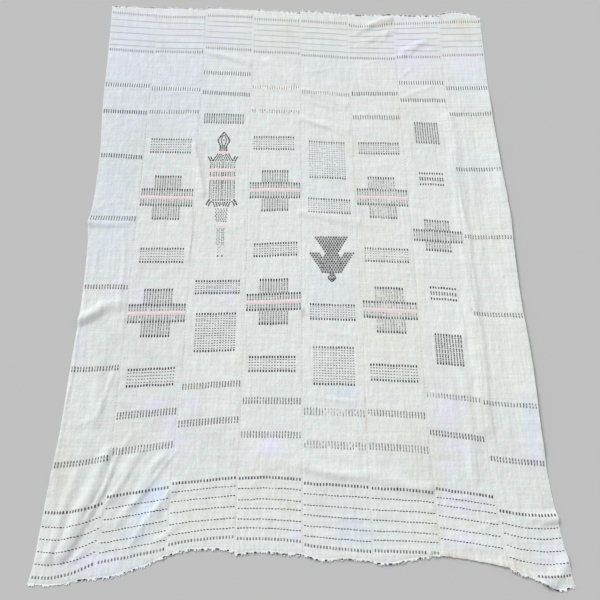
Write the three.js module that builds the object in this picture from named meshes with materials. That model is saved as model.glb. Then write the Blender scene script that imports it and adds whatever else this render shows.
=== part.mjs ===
// A cotton cloth of eight hand-woven strips sewn edge to edge, lying nearly flat.
// Millimetres, Z up. X runs across the strips and Y along them, far end at +Y.
import * as THREE from 'three';

// Driving sizes.
const clothThickness = 1.4;
const seamGap = 0.3;
const cellsAcross = 6;
const cellsAlong = 68;

// The long edges and the seven seams: at each level y, the x of every line.
const stripLines = [
  { y: 905, left: -540, s12: -405, s23: -267, s34: -133, s45: 0, s56: 134, s67: 264, s78: 391, right: 514 },
  { y: 780, left: -534, s12: -404, s23: -266, s34: -132, s45: 1, s56: 135, s67: 264, s78: 391, right: 511 },
  { y: 540, left: -525, s12: -403, s23: -265, s34: -131, s45: 2, s56: 136, s67: 266, s78: 392, right: 508 },
  { y: 400, left: -515, s12: -402, s23: -265, s34: -130, s45: 3, s56: 138, s67: 269, s78: 393, right: 511 },
  { y: 250, left: -515, s12: -401, s23: -264, s34: -129, s45: 4, s56: 139, s67: 272, s78: 395, right: 517 },
  { y: 205, left: -520, s12: -401, s23: -263, s34: -128, s45: 4, s56: 140, s67: 273, s78: 396, right: 518 },
  { y: 150, left: -514, s12: -402, s23: -262, s34: -128, s45: 4, s56: 140, s67: 273, s78: 396, right: 515 },
  { y: 0, left: -509, s12: -401, s23: -262, s34: -128, s45: 5, s56: 143, s67: 274, s78: 397, right: 514 },
  { y: -150, left: -513, s12: -401, s23: -262, s34: -128, s45: 5, s56: 144, s67: 275, s78: 397, right: 519 },
  { y: -300, left: -516, s12: -401, s23: -267, s34: -130, s45: 5, s56: 144, s67: 275, s78: 397, right: 517 },
  { y: -400, left: -523, s12: -401, s23: -269, s34: -131, s45: 5, s56: 145, s67: 278, s78: 401, right: 519 },
  { y: -500, left: -528, s12: -404, s23: -269, s34: -131, s45: 5, s56: 146, s67: 281, s78: 408, right: 528 },
  { y: -570, left: -532, s12: -408, s23: -269, s34: -131, s45: 6, s56: 146, s67: 282, s78: 416, right: 537 },
  { y: -612, left: -540, s12: -410, s23: -269, s34: -131, s45: 6, s56: 146, s67: 282, s78: 419, right: 542 },
];

// One row for each strip: the lines on its two sides, its tint, and the y of
// its far and near ends at even steps from its left side to its right side.
const strips = [
  { left: 'left', right: 's12', tint: 0xdfe3e8, far: [903, 900, 897], near: [-600, -602, -601, -593, -590] },
  { left: 's12', right: 's23', tint: 0xdee3e2, far: [897, 894, 890], near: [-590, -586, -576, -564, -549] },
  { left: 's23', right: 's34', tint: 0xdde3e3, far: [898, 893, 888], near: [-549, -538, -536, -535, -540] },
  { left: 's34', right: 's45', tint: 0xdee4e1, far: [890, 884, 878], near: [-546, -542, -541, -545, -545] },
  { left: 's45', right: 's56', tint: 0xdee4e3, far: [885, 879, 872], near: [-546, -556, -554, -555, -558] },
  { left: 's56', right: 's67', tint: 0xe1e1da, far: [871, 868, 872], near: [-561, -563, -557, -551, -548] },
  { left: 's67', right: 's78', tint: 0xe0e2dd, far: [870, 866, 866], near: [-549, -553, -558, -564, -571] },
  { left: 's78', right: 'right', tint: 0xe2e4e2, far: [872, 879, 860], near: [-572, -584, -597, -611, -604] },
];

// Soft folds, one straight crest in each row: where the crest starts and ends,
// how far its foot lies from the crest, and its height at the start and end.
const folds = [
  { x1: -516, y1: -56, x2: -458, y2: -20, foot: 20, high1: 9, high2: 8 },
  { x1: -458, y1: -20, x2: -418, y2: -14, foot: 20, high1: 8, high2: 3 },
  { x1: -520, y1: 207, x2: -420, y2: 201, foot: 16, high1: 5, high2: 2 },
  { x1: -402, y1: -340, x2: -474, y2: -548, foot: 20, high1: 5, high2: 9 },
  { x1: -338, y1: -345, x2: -398, y2: -445, foot: 17, high1: 3, high2: 4 },
  { x1: -288, y1: -360, x2: -372, y2: -488, foot: 17, high1: 4, high2: 3 },
  { x1: -262, y1: -420, x2: -330, y2: -520, foot: 17, high1: 3, high2: 2 },
  { x1: -466, y1: -390, x2: -500, y2: -552, foot: 18, high1: 3, high2: 5 },
  { x1: -446, y1: -145, x2: -438, y2: -280, foot: 18, high1: 3, high2: 3 },
  { x1: -297, y1: 520, x2: -248, y2: 436, foot: 16, high1: 3, high2: 3 },
  { x1: -266, y1: 425, x2: -244, y2: 290, foot: 16, high1: 3, high2: 3 },
  { x1: -300, y1: 755, x2: -135, y2: 696, foot: 18, high1: 2, high2: 3 },
  { x1: -92, y1: 704, x2: -18, y2: 626, foot: 18, high1: 3, high2: 3 },
  { x1: 8, y1: 602, x2: 118, y2: 558, foot: 18, high1: 3, high2: 3 },
  { x1: 6, y1: 512, x2: 122, y2: 470, foot: 18, high1: 3, high2: 2 },
  { x1: 4, y1: 226, x2: 138, y2: 202, foot: 18, high1: 3, high2: 2 },
  { x1: 0, y1: -370, x2: 268, y2: -422, foot: 22, high1: 3, high2: 3 },
  { x1: 164, y1: 810, x2: 250, y2: 856, foot: 16, high1: 4, high2: 6 },
  { x1: 176, y1: 768, x2: 262, y2: 812, foot: 16, high1: 3, high2: 4 },
  { x1: 284, y1: 735, x2: 346, y2: 776, foot: 16, high1: 3, high2: 3 },
  { x1: 397, y1: 520, x2: 400, y2: -300, foot: 24, high1: 3, high2: 4 },
  { x1: 359, y1: -90, x2: 366, y2: -400, foot: 18, high1: 2, high2: 3 },
  { x1: 519, y1: 560, x2: 524, y2: -330, foot: 70, high1: 5, high2: 6 },
  { x1: 476, y1: -482, x2: 530, y2: -476, foot: 17, high1: 3, high2: 7 },
  { x1: 486, y1: -600, x2: 536, y2: -556, foot: 22, high1: 5, high2: 3 },
  { x1: -268, y1: -552, x2: -130, y2: -543, foot: 34, high1: 4, high2: 4 },
  { x1: -130, y1: -543, x2: 145, y2: -560, foot: 34, high1: 4, high2: 4 },
  { x1: 145, y1: -562, x2: 282, y2: -550, foot: 34, high1: 4, high2: 3 },
];

// The rolled hem at the near end of the last two strips, laid out as the folds are.
const hem = [
  { x1: 286, y1: -551, x2: 412, y2: -571, foot: 16, high1: 2, high2: 3 },
  { x1: 412, y1: -571, x2: 478, y2: -597, foot: 16, high1: 3, high2: 2 },
];

// A smooth curve through knots of a place and a value, in rising order of place.
function curveThrough(knots, place) {
  const last = knots.length - 1;
  let i = 0;
  while (i < last - 1 && place > knots[i + 1].place) {
    i += 1;
  }
  const a = knots[i];
  const b = knots[i + 1];
  const before = knots[Math.max(i - 1, 0)];
  const after = knots[Math.min(i + 2, last)];
  const span = b.place - a.place;
  const slopeA = (b.value - before.value) / (b.place - before.place) * span;
  const slopeB = (after.value - a.value) / (after.place - a.place) * span;
  const t = (place - a.place) / span;
  const t2 = t * t;
  const t3 = t2 * t;
  return a.value * (2 * t3 - 3 * t2 + 1) + slopeA * (t3 - 2 * t2 + t)
    + b.value * (3 * t2 - 2 * t3) + slopeB * (t3 - t2);
}

// The x of one long edge or seam at a level.
function lineAt(name, y) {
  const knots = stripLines.map((row) => ({ place: row.y, value: row[name] })).reverse();
  return curveThrough(knots, y);
}

// The y of a strip's end at a share of the way from its left to its right side.
function endAt(values, share) {
  const knots = values.map((value, i) => ({ place: i / (values.length - 1), value }));
  return curveThrough(knots, share);
}

// Height of a set of soft ridges: each is a raised cosine of the distance to
// its crest, and where two meet the higher one counts.
function ridgeHeight(rows, x, y) {
  let height = 0;
  for (const row of rows) {
    const dx = row.x2 - row.x1;
    const dy = row.y2 - row.y1;
    const along = ((x - row.x1) * dx + (y - row.y1) * dy) / (dx * dx + dy * dy);
    const share = Math.min(Math.max(along, 0), 1);
    const away = Math.hypot(x - row.x1 - share * dx, y - row.y1 - share * dy);
    if (away < row.foot) {
      const crest = row.high1 + (row.high2 - row.high1) * share;
      height = Math.max(height, crest * (0.5 + 0.5 * Math.cos(Math.PI * away / row.foot)));
    }
  }
  return height;
}

// Where a strip's top and underside lie at shares across and along the strip.
function stripPoint(strip, across, along) {
  const yNear = endAt(strip.near, across);
  const yFar = endAt(strip.far, across);
  const y = yNear + (yFar - yNear) * along;
  const xLeft = lineAt(strip.left, y) + seamGap / 2;
  const xRight = lineAt(strip.right, y) - seamGap / 2;
  const x = xLeft + (xRight - xLeft) * across;
  const under = ridgeHeight(folds, x, y);
  const over = under + clothThickness + ridgeHeight(hem, x, y);
  return { x, y, under, over };
}

// The closed sheet of one strip: a top and an underside on the same grid of
// cells, each split along the diagonal nearest the folds, and four rims.
function stripGeometry(strip) {
  const columns = cellsAcross + 1;
  const rows = cellsAlong + 1;
  const points = [];
  for (let j = 0; j < rows; j += 1) {
    for (let i = 0; i < columns; i += 1) {
      points.push(stripPoint(strip, i / cellsAcross, j / cellsAlong));
    }
  }
  const count = points.length;
  const top = points.flatMap((p) => [p.x, p.y, p.over]);
  const bottom = points.flatMap((p) => [p.x, p.y, p.under]);
  const faces = [];
  const quad = (a, b, c, d) => faces.push(a, b, c, a, c, d);
  for (let j = 0; j < cellsAlong; j += 1) {
    for (let i = 0; i < cellsAcross; i += 1) {
      const a = j * columns + i;
      const b = a + 1;
      const c = b + columns;
      const d = a + columns;
      const centreX = (points[a].x + points[c].x) / 2;
      const centreY = (points[a].y + points[c].y) / 2;
      const centre = ridgeHeight(folds, centreX, centreY);
      const missAC = Math.abs((points[a].under + points[c].under) / 2 - centre);
      const missBD = Math.abs((points[b].under + points[d].under) / 2 - centre);
      if (missAC <= missBD) {
        quad(a, b, c, d);
        quad(count + c, count + b, count + a, count + d);
      } else {
        quad(b, c, d, a);
        quad(count + d, count + c, count + b, count + a);
      }
    }
  }
  for (let i = 0; i < cellsAcross; i += 1) {
    const far = cellsAlong * columns + i;
    quad(count + i, count + i + 1, i + 1, i);
    quad(count + far + 1, count + far, far, far + 1);
  }
  for (let j = 0; j < cellsAlong; j += 1) {
    const left = j * columns;
    const right = left + cellsAcross;
    quad(count + left + columns, count + left, left, left + columns);
    quad(count + right, count + right + columns, right + columns, right);
  }
  const geometry = new THREE.BufferGeometry();
  geometry.setAttribute('position', new THREE.Float32BufferAttribute(top.concat(bottom), 3));
  geometry.setIndex(faces);
  return geometry;
}

// The whole cloth, moved so that it stands on Z = 0 with its middle on the Z axis.
const cloth = new THREE.Group();
cloth.name = 'cloth';
const box = new THREE.Box3();
const sheets = strips.map((strip) => stripGeometry(strip));
for (const sheet of sheets) {
  sheet.computeBoundingBox();
  box.union(sheet.boundingBox);
}
const middle = box.getCenter(new THREE.Vector3());
sheets.forEach((sheet, i) => {
  sheet.translate(-middle.x, -middle.y, -box.min.z);
  sheet.computeVertexNormals();
  const material = new THREE.MeshStandardMaterial({ color: strips[i].tint, roughness: 0.95, metalness: 0 });
  material.name = `strip_${i + 1}_cotton`;
  const mesh = new THREE.Mesh(sheet, material);
  mesh.name = `strip_${i + 1}`;
  cloth.add(mesh);
});

export default cloth;
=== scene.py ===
import math

import bpy
import numpy as np
from bpy.props import FloatProperty, FloatVectorProperty, IntProperty, PointerProperty
from bpy.types import Operator, Panel, PropertyGroup
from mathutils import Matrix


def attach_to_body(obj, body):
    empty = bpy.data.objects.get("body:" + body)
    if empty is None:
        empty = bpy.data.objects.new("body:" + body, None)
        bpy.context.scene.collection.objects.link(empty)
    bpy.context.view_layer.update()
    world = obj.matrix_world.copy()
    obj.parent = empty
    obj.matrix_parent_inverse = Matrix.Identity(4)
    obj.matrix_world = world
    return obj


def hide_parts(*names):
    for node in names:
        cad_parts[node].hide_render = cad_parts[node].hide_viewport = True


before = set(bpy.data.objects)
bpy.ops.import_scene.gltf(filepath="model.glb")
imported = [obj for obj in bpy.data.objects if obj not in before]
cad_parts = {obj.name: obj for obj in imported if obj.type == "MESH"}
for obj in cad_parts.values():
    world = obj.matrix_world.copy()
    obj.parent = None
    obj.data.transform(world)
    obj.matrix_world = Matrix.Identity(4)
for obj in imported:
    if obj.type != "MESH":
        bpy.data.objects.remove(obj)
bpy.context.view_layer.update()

bl_info = {
    "name": "Strip-woven cotton cloth",
    "version": (1, 0, 0),
    "blender": (4, 5, 0),
    "location": "3D View > Sidebar > Cloth",
    "description": "Weaves, inlays, sews and lays out a cloth of eight cotton strips",
    "category": "Object",
}

# The tables below are in millimetres on the cloth's own plan: x across the strips, y along
# them towards the far end. The lines, the ends and the hem are those of the part's source.

# The long edges and the seven seams: at each level y, the x of every line.
LINE_TABLE = np.array([
    # y, left, s12, s23, s34, s45, s56, s67, s78, right
    (-612, -540, -410, -269, -131, 6, 146, 282, 419, 542),
    (-570, -532, -408, -269, -131, 6, 146, 282, 416, 537),
    (-500, -528, -404, -269, -131, 5, 146, 281, 408, 528),
    (-400, -523, -401, -269, -131, 5, 145, 278, 401, 519),
    (-300, -516, -401, -267, -130, 5, 144, 275, 397, 517),
    (-150, -513, -401, -262, -128, 5, 144, 275, 397, 519),
    (0, -509, -401, -262, -128, 5, 143, 274, 397, 514),
    (150, -514, -402, -262, -128, 4, 140, 273, 396, 515),
    (205, -520, -401, -263, -128, 4, 140, 273, 396, 518),
    (250, -515, -401, -264, -129, 4, 139, 272, 395, 517),
    (400, -515, -402, -265, -130, 3, 138, 269, 393, 511),
    (540, -525, -403, -265, -131, 2, 136, 266, 392, 508),
    (780, -534, -404, -266, -132, 1, 135, 264, 391, 511),
    (905, -540, -405, -267, -133, 0, 134, 264, 391, 514),
], float)

# The y of each strip's far and near end, at even steps from its left side to its right.
FAR_ENDS = (
    (903, 900, 897), (897, 894, 890), (898, 893, 888), (890, 884, 878),
    (885, 879, 872), (871, 868, 872), (870, 866, 866), (872, 879, 860),
)
NEAR_ENDS = (
    (-600, -602, -601, -593, -590), (-590, -586, -576, -564, -549),
    (-549, -538, -536, -535, -540), (-546, -542, -541, -545, -545),
    (-546, -556, -554, -555, -558), (-561, -563, -557, -551, -548),
    (-549, -553, -558, -564, -571), (-572, -584, -597, -611, -604),
)

# Soft folds, one straight crest in each row: x1, y1, x2, y2, the foot's distance from the
# crest, and the height at the crest's start and end. They are the folds of the part's
# source, but lower in five rows: two at the sixth strip's far end and the last three.
FOLDS = (
    (-516, -56, -458, -20, 20, 9, 8),
    (-458, -20, -418, -14, 20, 8, 3),
    (-520, 207, -420, 201, 16, 5, 2),
    (-402, -340, -474, -548, 20, 5, 9),
    (-338, -345, -398, -445, 17, 3, 4),
    (-288, -360, -372, -488, 17, 4, 3),
    (-262, -420, -330, -520, 17, 3, 2),
    (-466, -390, -500, -552, 18, 3, 5),
    (-446, -145, -438, -280, 18, 3, 3),
    (-297, 520, -248, 436, 16, 3, 3),
    (-266, 425, -244, 290, 16, 3, 3),
    (-300, 755, -135, 696, 18, 2, 3),
    (-92, 704, -18, 626, 18, 3, 3),
    (8, 602, 118, 558, 18, 3, 3),
    (6, 512, 122, 470, 18, 3, 2),
    (4, 226, 138, 202, 18, 3, 2),
    (0, -370, 268, -422, 22, 3, 3),
    (164, 810, 250, 856, 16, 2.5, 4),
    (176, 768, 262, 812, 16, 2, 2.5),
    (284, 735, 346, 776, 16, 3, 3),
    (397, 520, 400, -300, 24, 3, 4),
    (359, -90, 366, -400, 18, 2, 3),
    (519, 560, 524, -330, 70, 5, 6),
    (476, -482, 530, -476, 17, 3, 7),
    (486, -600, 536, -556, 22, 5, 3),
    (-268, -552, -130, -543, 34, 1.2, 1),
    (-130, -543, 145, -560, 34, 1, 1),
    (145, -562, 282, -550, 34, 1, 1.2),
)
HEM = (
    (286, -551, 412, -571, 16, 2, 3),
    (412, -571, 478, -597, 16, 3, 2),
)

# Fine creases too small for the solids: the foot's distance, the height, and the points of
# the crest, which fades out towards both ends.
CREASES = (
    (6, 1.8, (-507, 108), (-503, 0), (-507, -150), (-510, -300), (-516, -372)),
    (8, 2.2, (-434, 196), (-425, 150), (-418, 80), (-418, 40), (-414, -40)),
    (7, 1.8, (-423, 28), (-414, -60)), (7, 1.1, (-510, 239), (-473, 256), (-407, 269)),
    (8, 1.0, (-461, 112), (-452, 46)), (9, 0.9, (-490, 130), (-480, 40)),
    (9, 2.6, (-414, -160), (-424, -211), (-430, -244), (-441, -277), (-474, -284)),
    (6, 1.0, (-496, -76), (-488, -140)), (6, 1.0, (-456, -286), (-452, -352)),
    (7, 0.8, (-470, -90), (-464, -190)), (7, 1.5, (-514, -372), (-498, -534)),
    (7, 1.5, (-484, -454), (-485, -541), (-487, -562)), (10, 1.0, (-455, -310), (-470, -390)),
    (7, 1.2, (-408, -20), (-400, -116)), (9, 1.2, (-318, -350), (-388, -470)),
    (9, 1.0, (-262, -380), (-300, -452)), (9, 2.0, (-417, -520), (-449, -553), (-470, -575)),
    (8, 1.2, (-352, -355), (-425, -455)), (10, 2.0, (-233, -487), (-264, -502), (-296, -528)),
    (9, 1.2, (-190, -484), (-140, -470)),
    (9, 4.6, (-366, -312), (-385, -352), (-405, -414), (-432, -478), (-460, -535), (-474, -566)),
    (7, 2.4, (-260, -344), (-300, -400), (-328, -436), (-362, -466)),
    (7, 2.2, (-270, -430), (-309, -475), (-336, -524), (-344, -552)),
    (6, 1.6, (-404, -388), (-428, -440), (-452, -500), (-470, -530)),
    (6, 1.4, (-346, -372), (-392, -436), (-410, -470)),
    (8, 2.0, (-286, 534), (-262, 485), (-226, 434)),
    (8, 2.0, (-278, 442), (-261, 379), (-249, 326), (-237, 262)),
    (5, 1.6, (-262, 240), (-263, 172), (-265, 100)), (5, 1.0, (-126, -50), (-128, -124)),
    (8, 1.6, (-268, 737), (-210, 724), (-159, 694), (-130, 660)),
    (8, 1.4, (-409, 712), (-377, 730), (-343, 724)), (10, 1.0, (-395, 588), (-290, 600)),
    (9, 1.0, (-120, 706), (-60, 690)), (12, 0.8, (-180, 700), (-150, 560)),
    (8, 1.2, (-8, 799), (48, 812)), (8, 1.6, (-8, 667), (63, 673), (94, 688)),
    (8, 1.6, (2, 609), (62, 587), (130, 592)), (8, 1.7, (10, 578), (61, 557), (128, 540)),
    (8, 1.8, (8, 511), (76, 480), (138, 441)), (8, 2.0, (20, 213), (56, 197), (94, 178)),
    (8, 1.5, (38, -72), (87, -82), (143, -89)), (9, 2.0, (12, -227), (77, -233), (138, -241)),
    (10, 2.0, (10, -380), (61, -388), (140, -399)), (8, 1.2, (50, -480), (140, -480)),
    (8, 1.0, (-75, -384), (-108, -425)), (7, 1.1, (-97, -366), (-82, -328)),
    (8, 1.2, (230, 856), (197, 826), (176, 788)), (9, 1.6, (250, 830), (242, 790), (202, 751)),
    (7, 1.4, (170, 786), (220, 805)), (9, 1.0, (150, 690), (240, 712)),
    (8, 0.9, (150, 360), (250, 372)), (8, 2.0, (280, 722), (305, 730), (336, 766)),
    (8, 1.5, (272, 648), (304, 680)), (9, 1.8, (275, 583), (313, 601), (368, 618)),
    (8, 1.4, (338, 246), (372, 210)), (7, 1.8, (395, 336), (399, 239), (411, 176)),
    (7, 2.0, (409, 168), (411, 76), (415, -30)),
    (8, 2.0, (398, 34), (414, -64), (414, -149), (412, -257), (413, -369)),
    (7, 1.4, (366, 30), (372, -64), (376, -180)), (7, 1.2, (384, 392), (388, 90)),
    (8, 1.2, (430, 420), (436, 250), (440, 30)), (9, 0.9, (462, 300), (470, -40)),
    (8, 1.0, (452, -180), (446, -400)), (7, 1.4, (414, -388), (421, -460)),
    (7, 1.5, (493, -406), (499, -472)), (9, 1.0, (420, 856), (488, 866)),
    (8, 1.3, (312, -446), (356, -436)), (4, 1.5, (348, -508), (380, -492), (414, -478)),
    (9, 1.2, (284, -222), (312, -218)), (8, 2.4, (478, -503), (499, -489), (528, -485)),
    (8, 2.0, (464, -562), (500, -606)), (8, 1.2, (512, -588), (540, -546)),
    (5, 1.0, (286, -530), (300, -552)), (5, 1.0, (318, -534), (332, -560)),
    (5, 1.1, (350, -542), (362, -566)), (5, 1.2, (376, -546), (386, -572)),
    (5, 1.3, (398, -552), (412, -588)), (5, 1.5, (424, -550), (430, -590)),
    (5, 1.4, (446, -562), (454, -600)), (4, 1.5, (243, 66), (262, 65), (280, 58)),
    (7, 0.7, (186, 180), (140, 214)),
)

# The cloth's small unevenness: wave length, height and lean of each wave's crests in degrees.
RIPPLES = (
    (52, 0.20, 4), (37, 0.16, -6), (27, 0.12, 10), (21, 0.10, -3), (17, 0.08, 5),
    (88, 0.26, 62), (64, 0.20, -38), (120, 0.30, 84), (43, 0.14, 72), (30, 0.10, -55),
)
RIPPLE_SEED = 5
CRINKLE = ((19, 0.16), (12, 0.07))
RIPPLE_LIFT = 0.45
RIPPLE_FADE = 30
# How far and over what length the folds' crests wander.
WOBBLE = (150, 4.5)

# Lengths in millimetres: the plan width of one strip, how far a seam's groove reaches, how
# far the thinning of a raw end reaches, and the least that is left below a groove or an edge.
STRIP_WIDTH = 137
GROOVE_REACH = 2.0
RAW_END_REACH = 5
RAW_END_SHARE = 0.35
LEAST_UNDER_GROOVE = 0.3
LEAST_SHEET = 0.25
END_LEVELS = (-560, 880)
SIDE_MARGIN = 5.2

# Heights of the upright dashes, by where they stand.
BORDER_THICK, BORDER_THIN = 7.0, 2.9
BLOCK_THICK, BLOCK_THIN = 6.6, 2.7
CROSS_THICK, SQUARE_THICK = 6.8, 6.2
SHARP_ANGLE = math.radians(50)

# How each strip's wefts lean and sag: the y of the weft's middle, and how much higher it
# lies at the strip's left and right side.
TILTS = (
    ((-586, -2, 24), (-541, 0, 22), (-494, 0, 20), (-462, -1, 17), (-370, -5, 11), (-166, -1, 4),
     (33, -1, -2), (215, 0, -2), (396, 3, -4), (623, 3, -3), (876, 7, -7)),
    ((-550, -12, 14), (-430, -10, 11), (-338, -8, 9), (-265, -6, 6), (-185, -3, 3), (-33, -1, 1),
     (275, 1, -2), (535, 0, 0), (610, 2, -2), (865, 2, -2)),
    ((-520, -10, 5), (-405, -7, 6), (-282, -6, 5), (-202, -5, 4), (-80, -1, 1), (250, 0, 0),
     (400, 0, 0), (513, 2, -3), (595, 5, -5), (663, 4, -3), (747, 5, -5), (868, 3, -3)),
    ((-520, 1, -5), (-400, -2, -4), (-310, 0, -1), (-154, 0, 0), (-5, -2, 3), (130, -3, 3),
     (295, -2, -2), (436, 1, -2), (615, 3, -3), (854, 4, -4)),
    ((-534, 7, -6), (-415, 4, -4), (-331, 3, -3), (-158, 1, -2), (-30, 2, -2), (120, 1, -2),
     (248, 4, -4), (386, 4, -4), (595, 5, -5), (845, 5, -5)),
    ((-541, 2, -3), (-424, 3, -6), (-338, 4, -5), (-175, 3, -3), (115, 3, -3), (272, 2, -3),
     (420, 1, -1), (594, 0, 0), (715, 2, -1), (800, 0, 1), (833, 7, 13)),
    ((-525, 9, -10), (-430, 8, -9), (-230, 7, -8), (-120, 6, -6), (166, 5, -5), (328, 3, -3),
     (466, 4, -4), (600, 0, 0), (841, -2, 2)),
    ((-587, 14, 4), (-541, 13, 2), (-498, 12, 2), (-470, 9, 0), (-366, 7, -5), (-246, 5, -4),
     (-38, 3, -3), (162, 1, -1), (527, 0, 0), (845, -1, 2)),
)

# The inlaid wefts, as charted. The borders: for each strip, the y of its thick rows and
# of its thin rows.
THICK_ROWS = (
    (876, 743, -466, -586), (865, 738, -428, -550), (868, 749, -405, -519), (854, 736, -399, -518),
    (845, 722, -414, -536), (829, 715, -423, -542), (841, 720, -429), (846, 727, -472),
)
THIN_ROWS = (
    (851, 827, 805, 780, 760, -494, -517, -541, -563),
    (841, 819, 797, 772, 750, -451, -472, -495, -515, -533),
    (846, 830, 808, 787, 767, -421, -440, -461, -483, -502),
    (835, 813, 795, 774, 755, -420, -442, -460, -481, -498),
    (823, 804, 783, 763, 741, -435, -457, -477, -498, -518),
    (815, 792, 773, 751, 734, -443, -465, -485, -505, -522),
    (824, 804, 783, 761, 741, -445, -461, -482, -505, -526),
    (824, 801, 777, 756, -498, -518, -541, -564),
)

# Bars right across a strip: strip, y, height, wear from 0 to 1.
BARS = (
    (1, 623, 12, 0.15), (1, 535, 12, 0.1), (1, 396, 13, 0.1), (1, 215, 14, 0.1), (1, 33, 12, 0.05),
    (1, -166, 13, 0.1), (1, -369, 13, 0.1),
    (2, 610, 12, 0.35), (2, 535, 12, 0.35), (2, -265, 16, 0.15), (2, -339, 16, 0.3),
    (3, 663, 12, 0.1), (3, 595, 12, 0.15), (3, -202, 14, 0.2), (3, -282, 15, 0.15),
    (4, 615, 11, 0.75), (4, 536, 11, 0.7), (4, -237, 15, 0.2), (4, -310, 15, 0.3),
    (5, 595, 12, 0.62), (5, -262, 17, 0.45), (5, -332, 17, 0.5),
    (6, 594, 12, 0.15), (6, 517, 14, 0.4), (6, -266, 15, 0.3), (6, -338, 16, 0.35),
    (7, 631, 12, 0.1), (7, 572, 12, 0.15), (7, -229, 12, 0.3), (7, -312, 13, 0.1),
    (8, 613, 12, 0.1), (8, 526, 12, 0.25), (8, 355, 12, 0.25), (8, 162, 11, 0.15),
    (8, -38, 11, 0.15), (8, -246, 11, 0.2), (8, -366, 12, 0.15),
)

# Blocks of thin rows between two thick ones: strip, top, bottom, dashes across, thin rows
# inside, shift of the middle, wear.
BLOCKS = (
    (2, 447, 408, 17, 4, 0, 0.2), (2, 132, 97, 17, 4, 0, 0.2), (2, -166, -203, 17, 4, 0, 0.2),
    (3, 47, 17, 17, 4, 1, 0.2), (3, -35, -123, 15, 14, 1, 0.15),
    (4, 454, 418, 17, 4, -4, 0.2), (4, 146, 114, 17, 4, 3, 0.2), (4, -138, -170, 17, 4, -1, 0.2),
    (5, 438, 331, 15, 15, -1, 0.42), (5, 268, 231, 17, 5, 1, 0.42), (5, -13, -48, 17, 5, 1, 0.35),
    (5, -116, -200, 15, 13, 1, 0.32),
    (6, 435, 404, 17, 4, 0, 0.25), (6, 131, 98, 17, 4, 1, 0.5), (6, -158, -192, 17, 4, 0, 0.25),
)

# Crosses: strip, top, bottom, arm top, arm bottom, y of the pink weft (None without), dashes
# across the upright, wear, and how far the upright's lower half is moved, in dashes.
CROSSES = (
    (2, 334, 214, 297, 252, 274, 11, 0.1, 0.9), (2, 25, -89, -13, -54, -33, 11, 0.1, 0),
    (4, 351, 238, 316, 275, 296, 11, 0.1, 0), (4, 51, -59, 14, -24, -5, 11, 0.05, 0),
    (6, 331, 217, 295, 253, 274, 11, 0.25, 0), (6, 29, -79, -7, -45, -26, 11, 0.25, 0),
    (7, 207, 127, 179, 152, None, 10, 0.2, 0),
)

# Squares of close columns: strip, top, bottom, dashes across, shift, wear.
SQUARES = (
    (3, 526, 500, 17, -3, 0.25), (7, 498, 436, 10, 1, 0.05), (7, -87, -155, 10, 1, 0.05),
)

# Small triple bars: strip, top row, middle bar, bottom row, dashes across.
TRIPLES = ((7, 343, 327, 311, 10), (7, 29, 15, 1, 10))

# Where the inlay is worn thin: x, y, reach, and how much wear is added.
WORN = (
    (-300, 447, 14, 0.4), (-358, 405, 10, 0.2), (-330, 226, 16, 0.15), (-350, 535, 40, 0.25),
    (60, 415, 30, 0.4), (40, 360, 26, 0.5), (95, 380, 20, 0.3), (36, 250, 22, 0.3),
    (95, -18, 16, 0.3), (45, -36, 16, 0.25), (40, -130, 24, 0.35), (30, -150, 18, 0.3),
    (195, 235, 20, 0.35), (206, 226, 14, 0.3), (184, 18, 16, 0.3), (200, -14, 12, 0.45),
    (222, -36, 12, 0.5), (190, -60, 14, 0.25), (185, 118, 24, 0.3), (235, 110, 16, 0.2),
    (222, 300, 18, 0.2), (182, 318, 12, 0.3), (225, -175, 16, 0.35), (150, -262, 14, 0.2),
    (72, -262, 14, 0.5), (88, -258, 12, 0.5), (290, -222, 16, 0.5), (345, 160, 12, 0.15),
    (285, 170, 12, 0.2), (384, 160, 10, 0.15), (500, 355, 20, 0.3), (470, 526, 30, 0.15),
    (262, -541, 8, 0.5), (-170, 20, 20, 0.1), (-150, 36, 14, 0.25),
)
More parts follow.
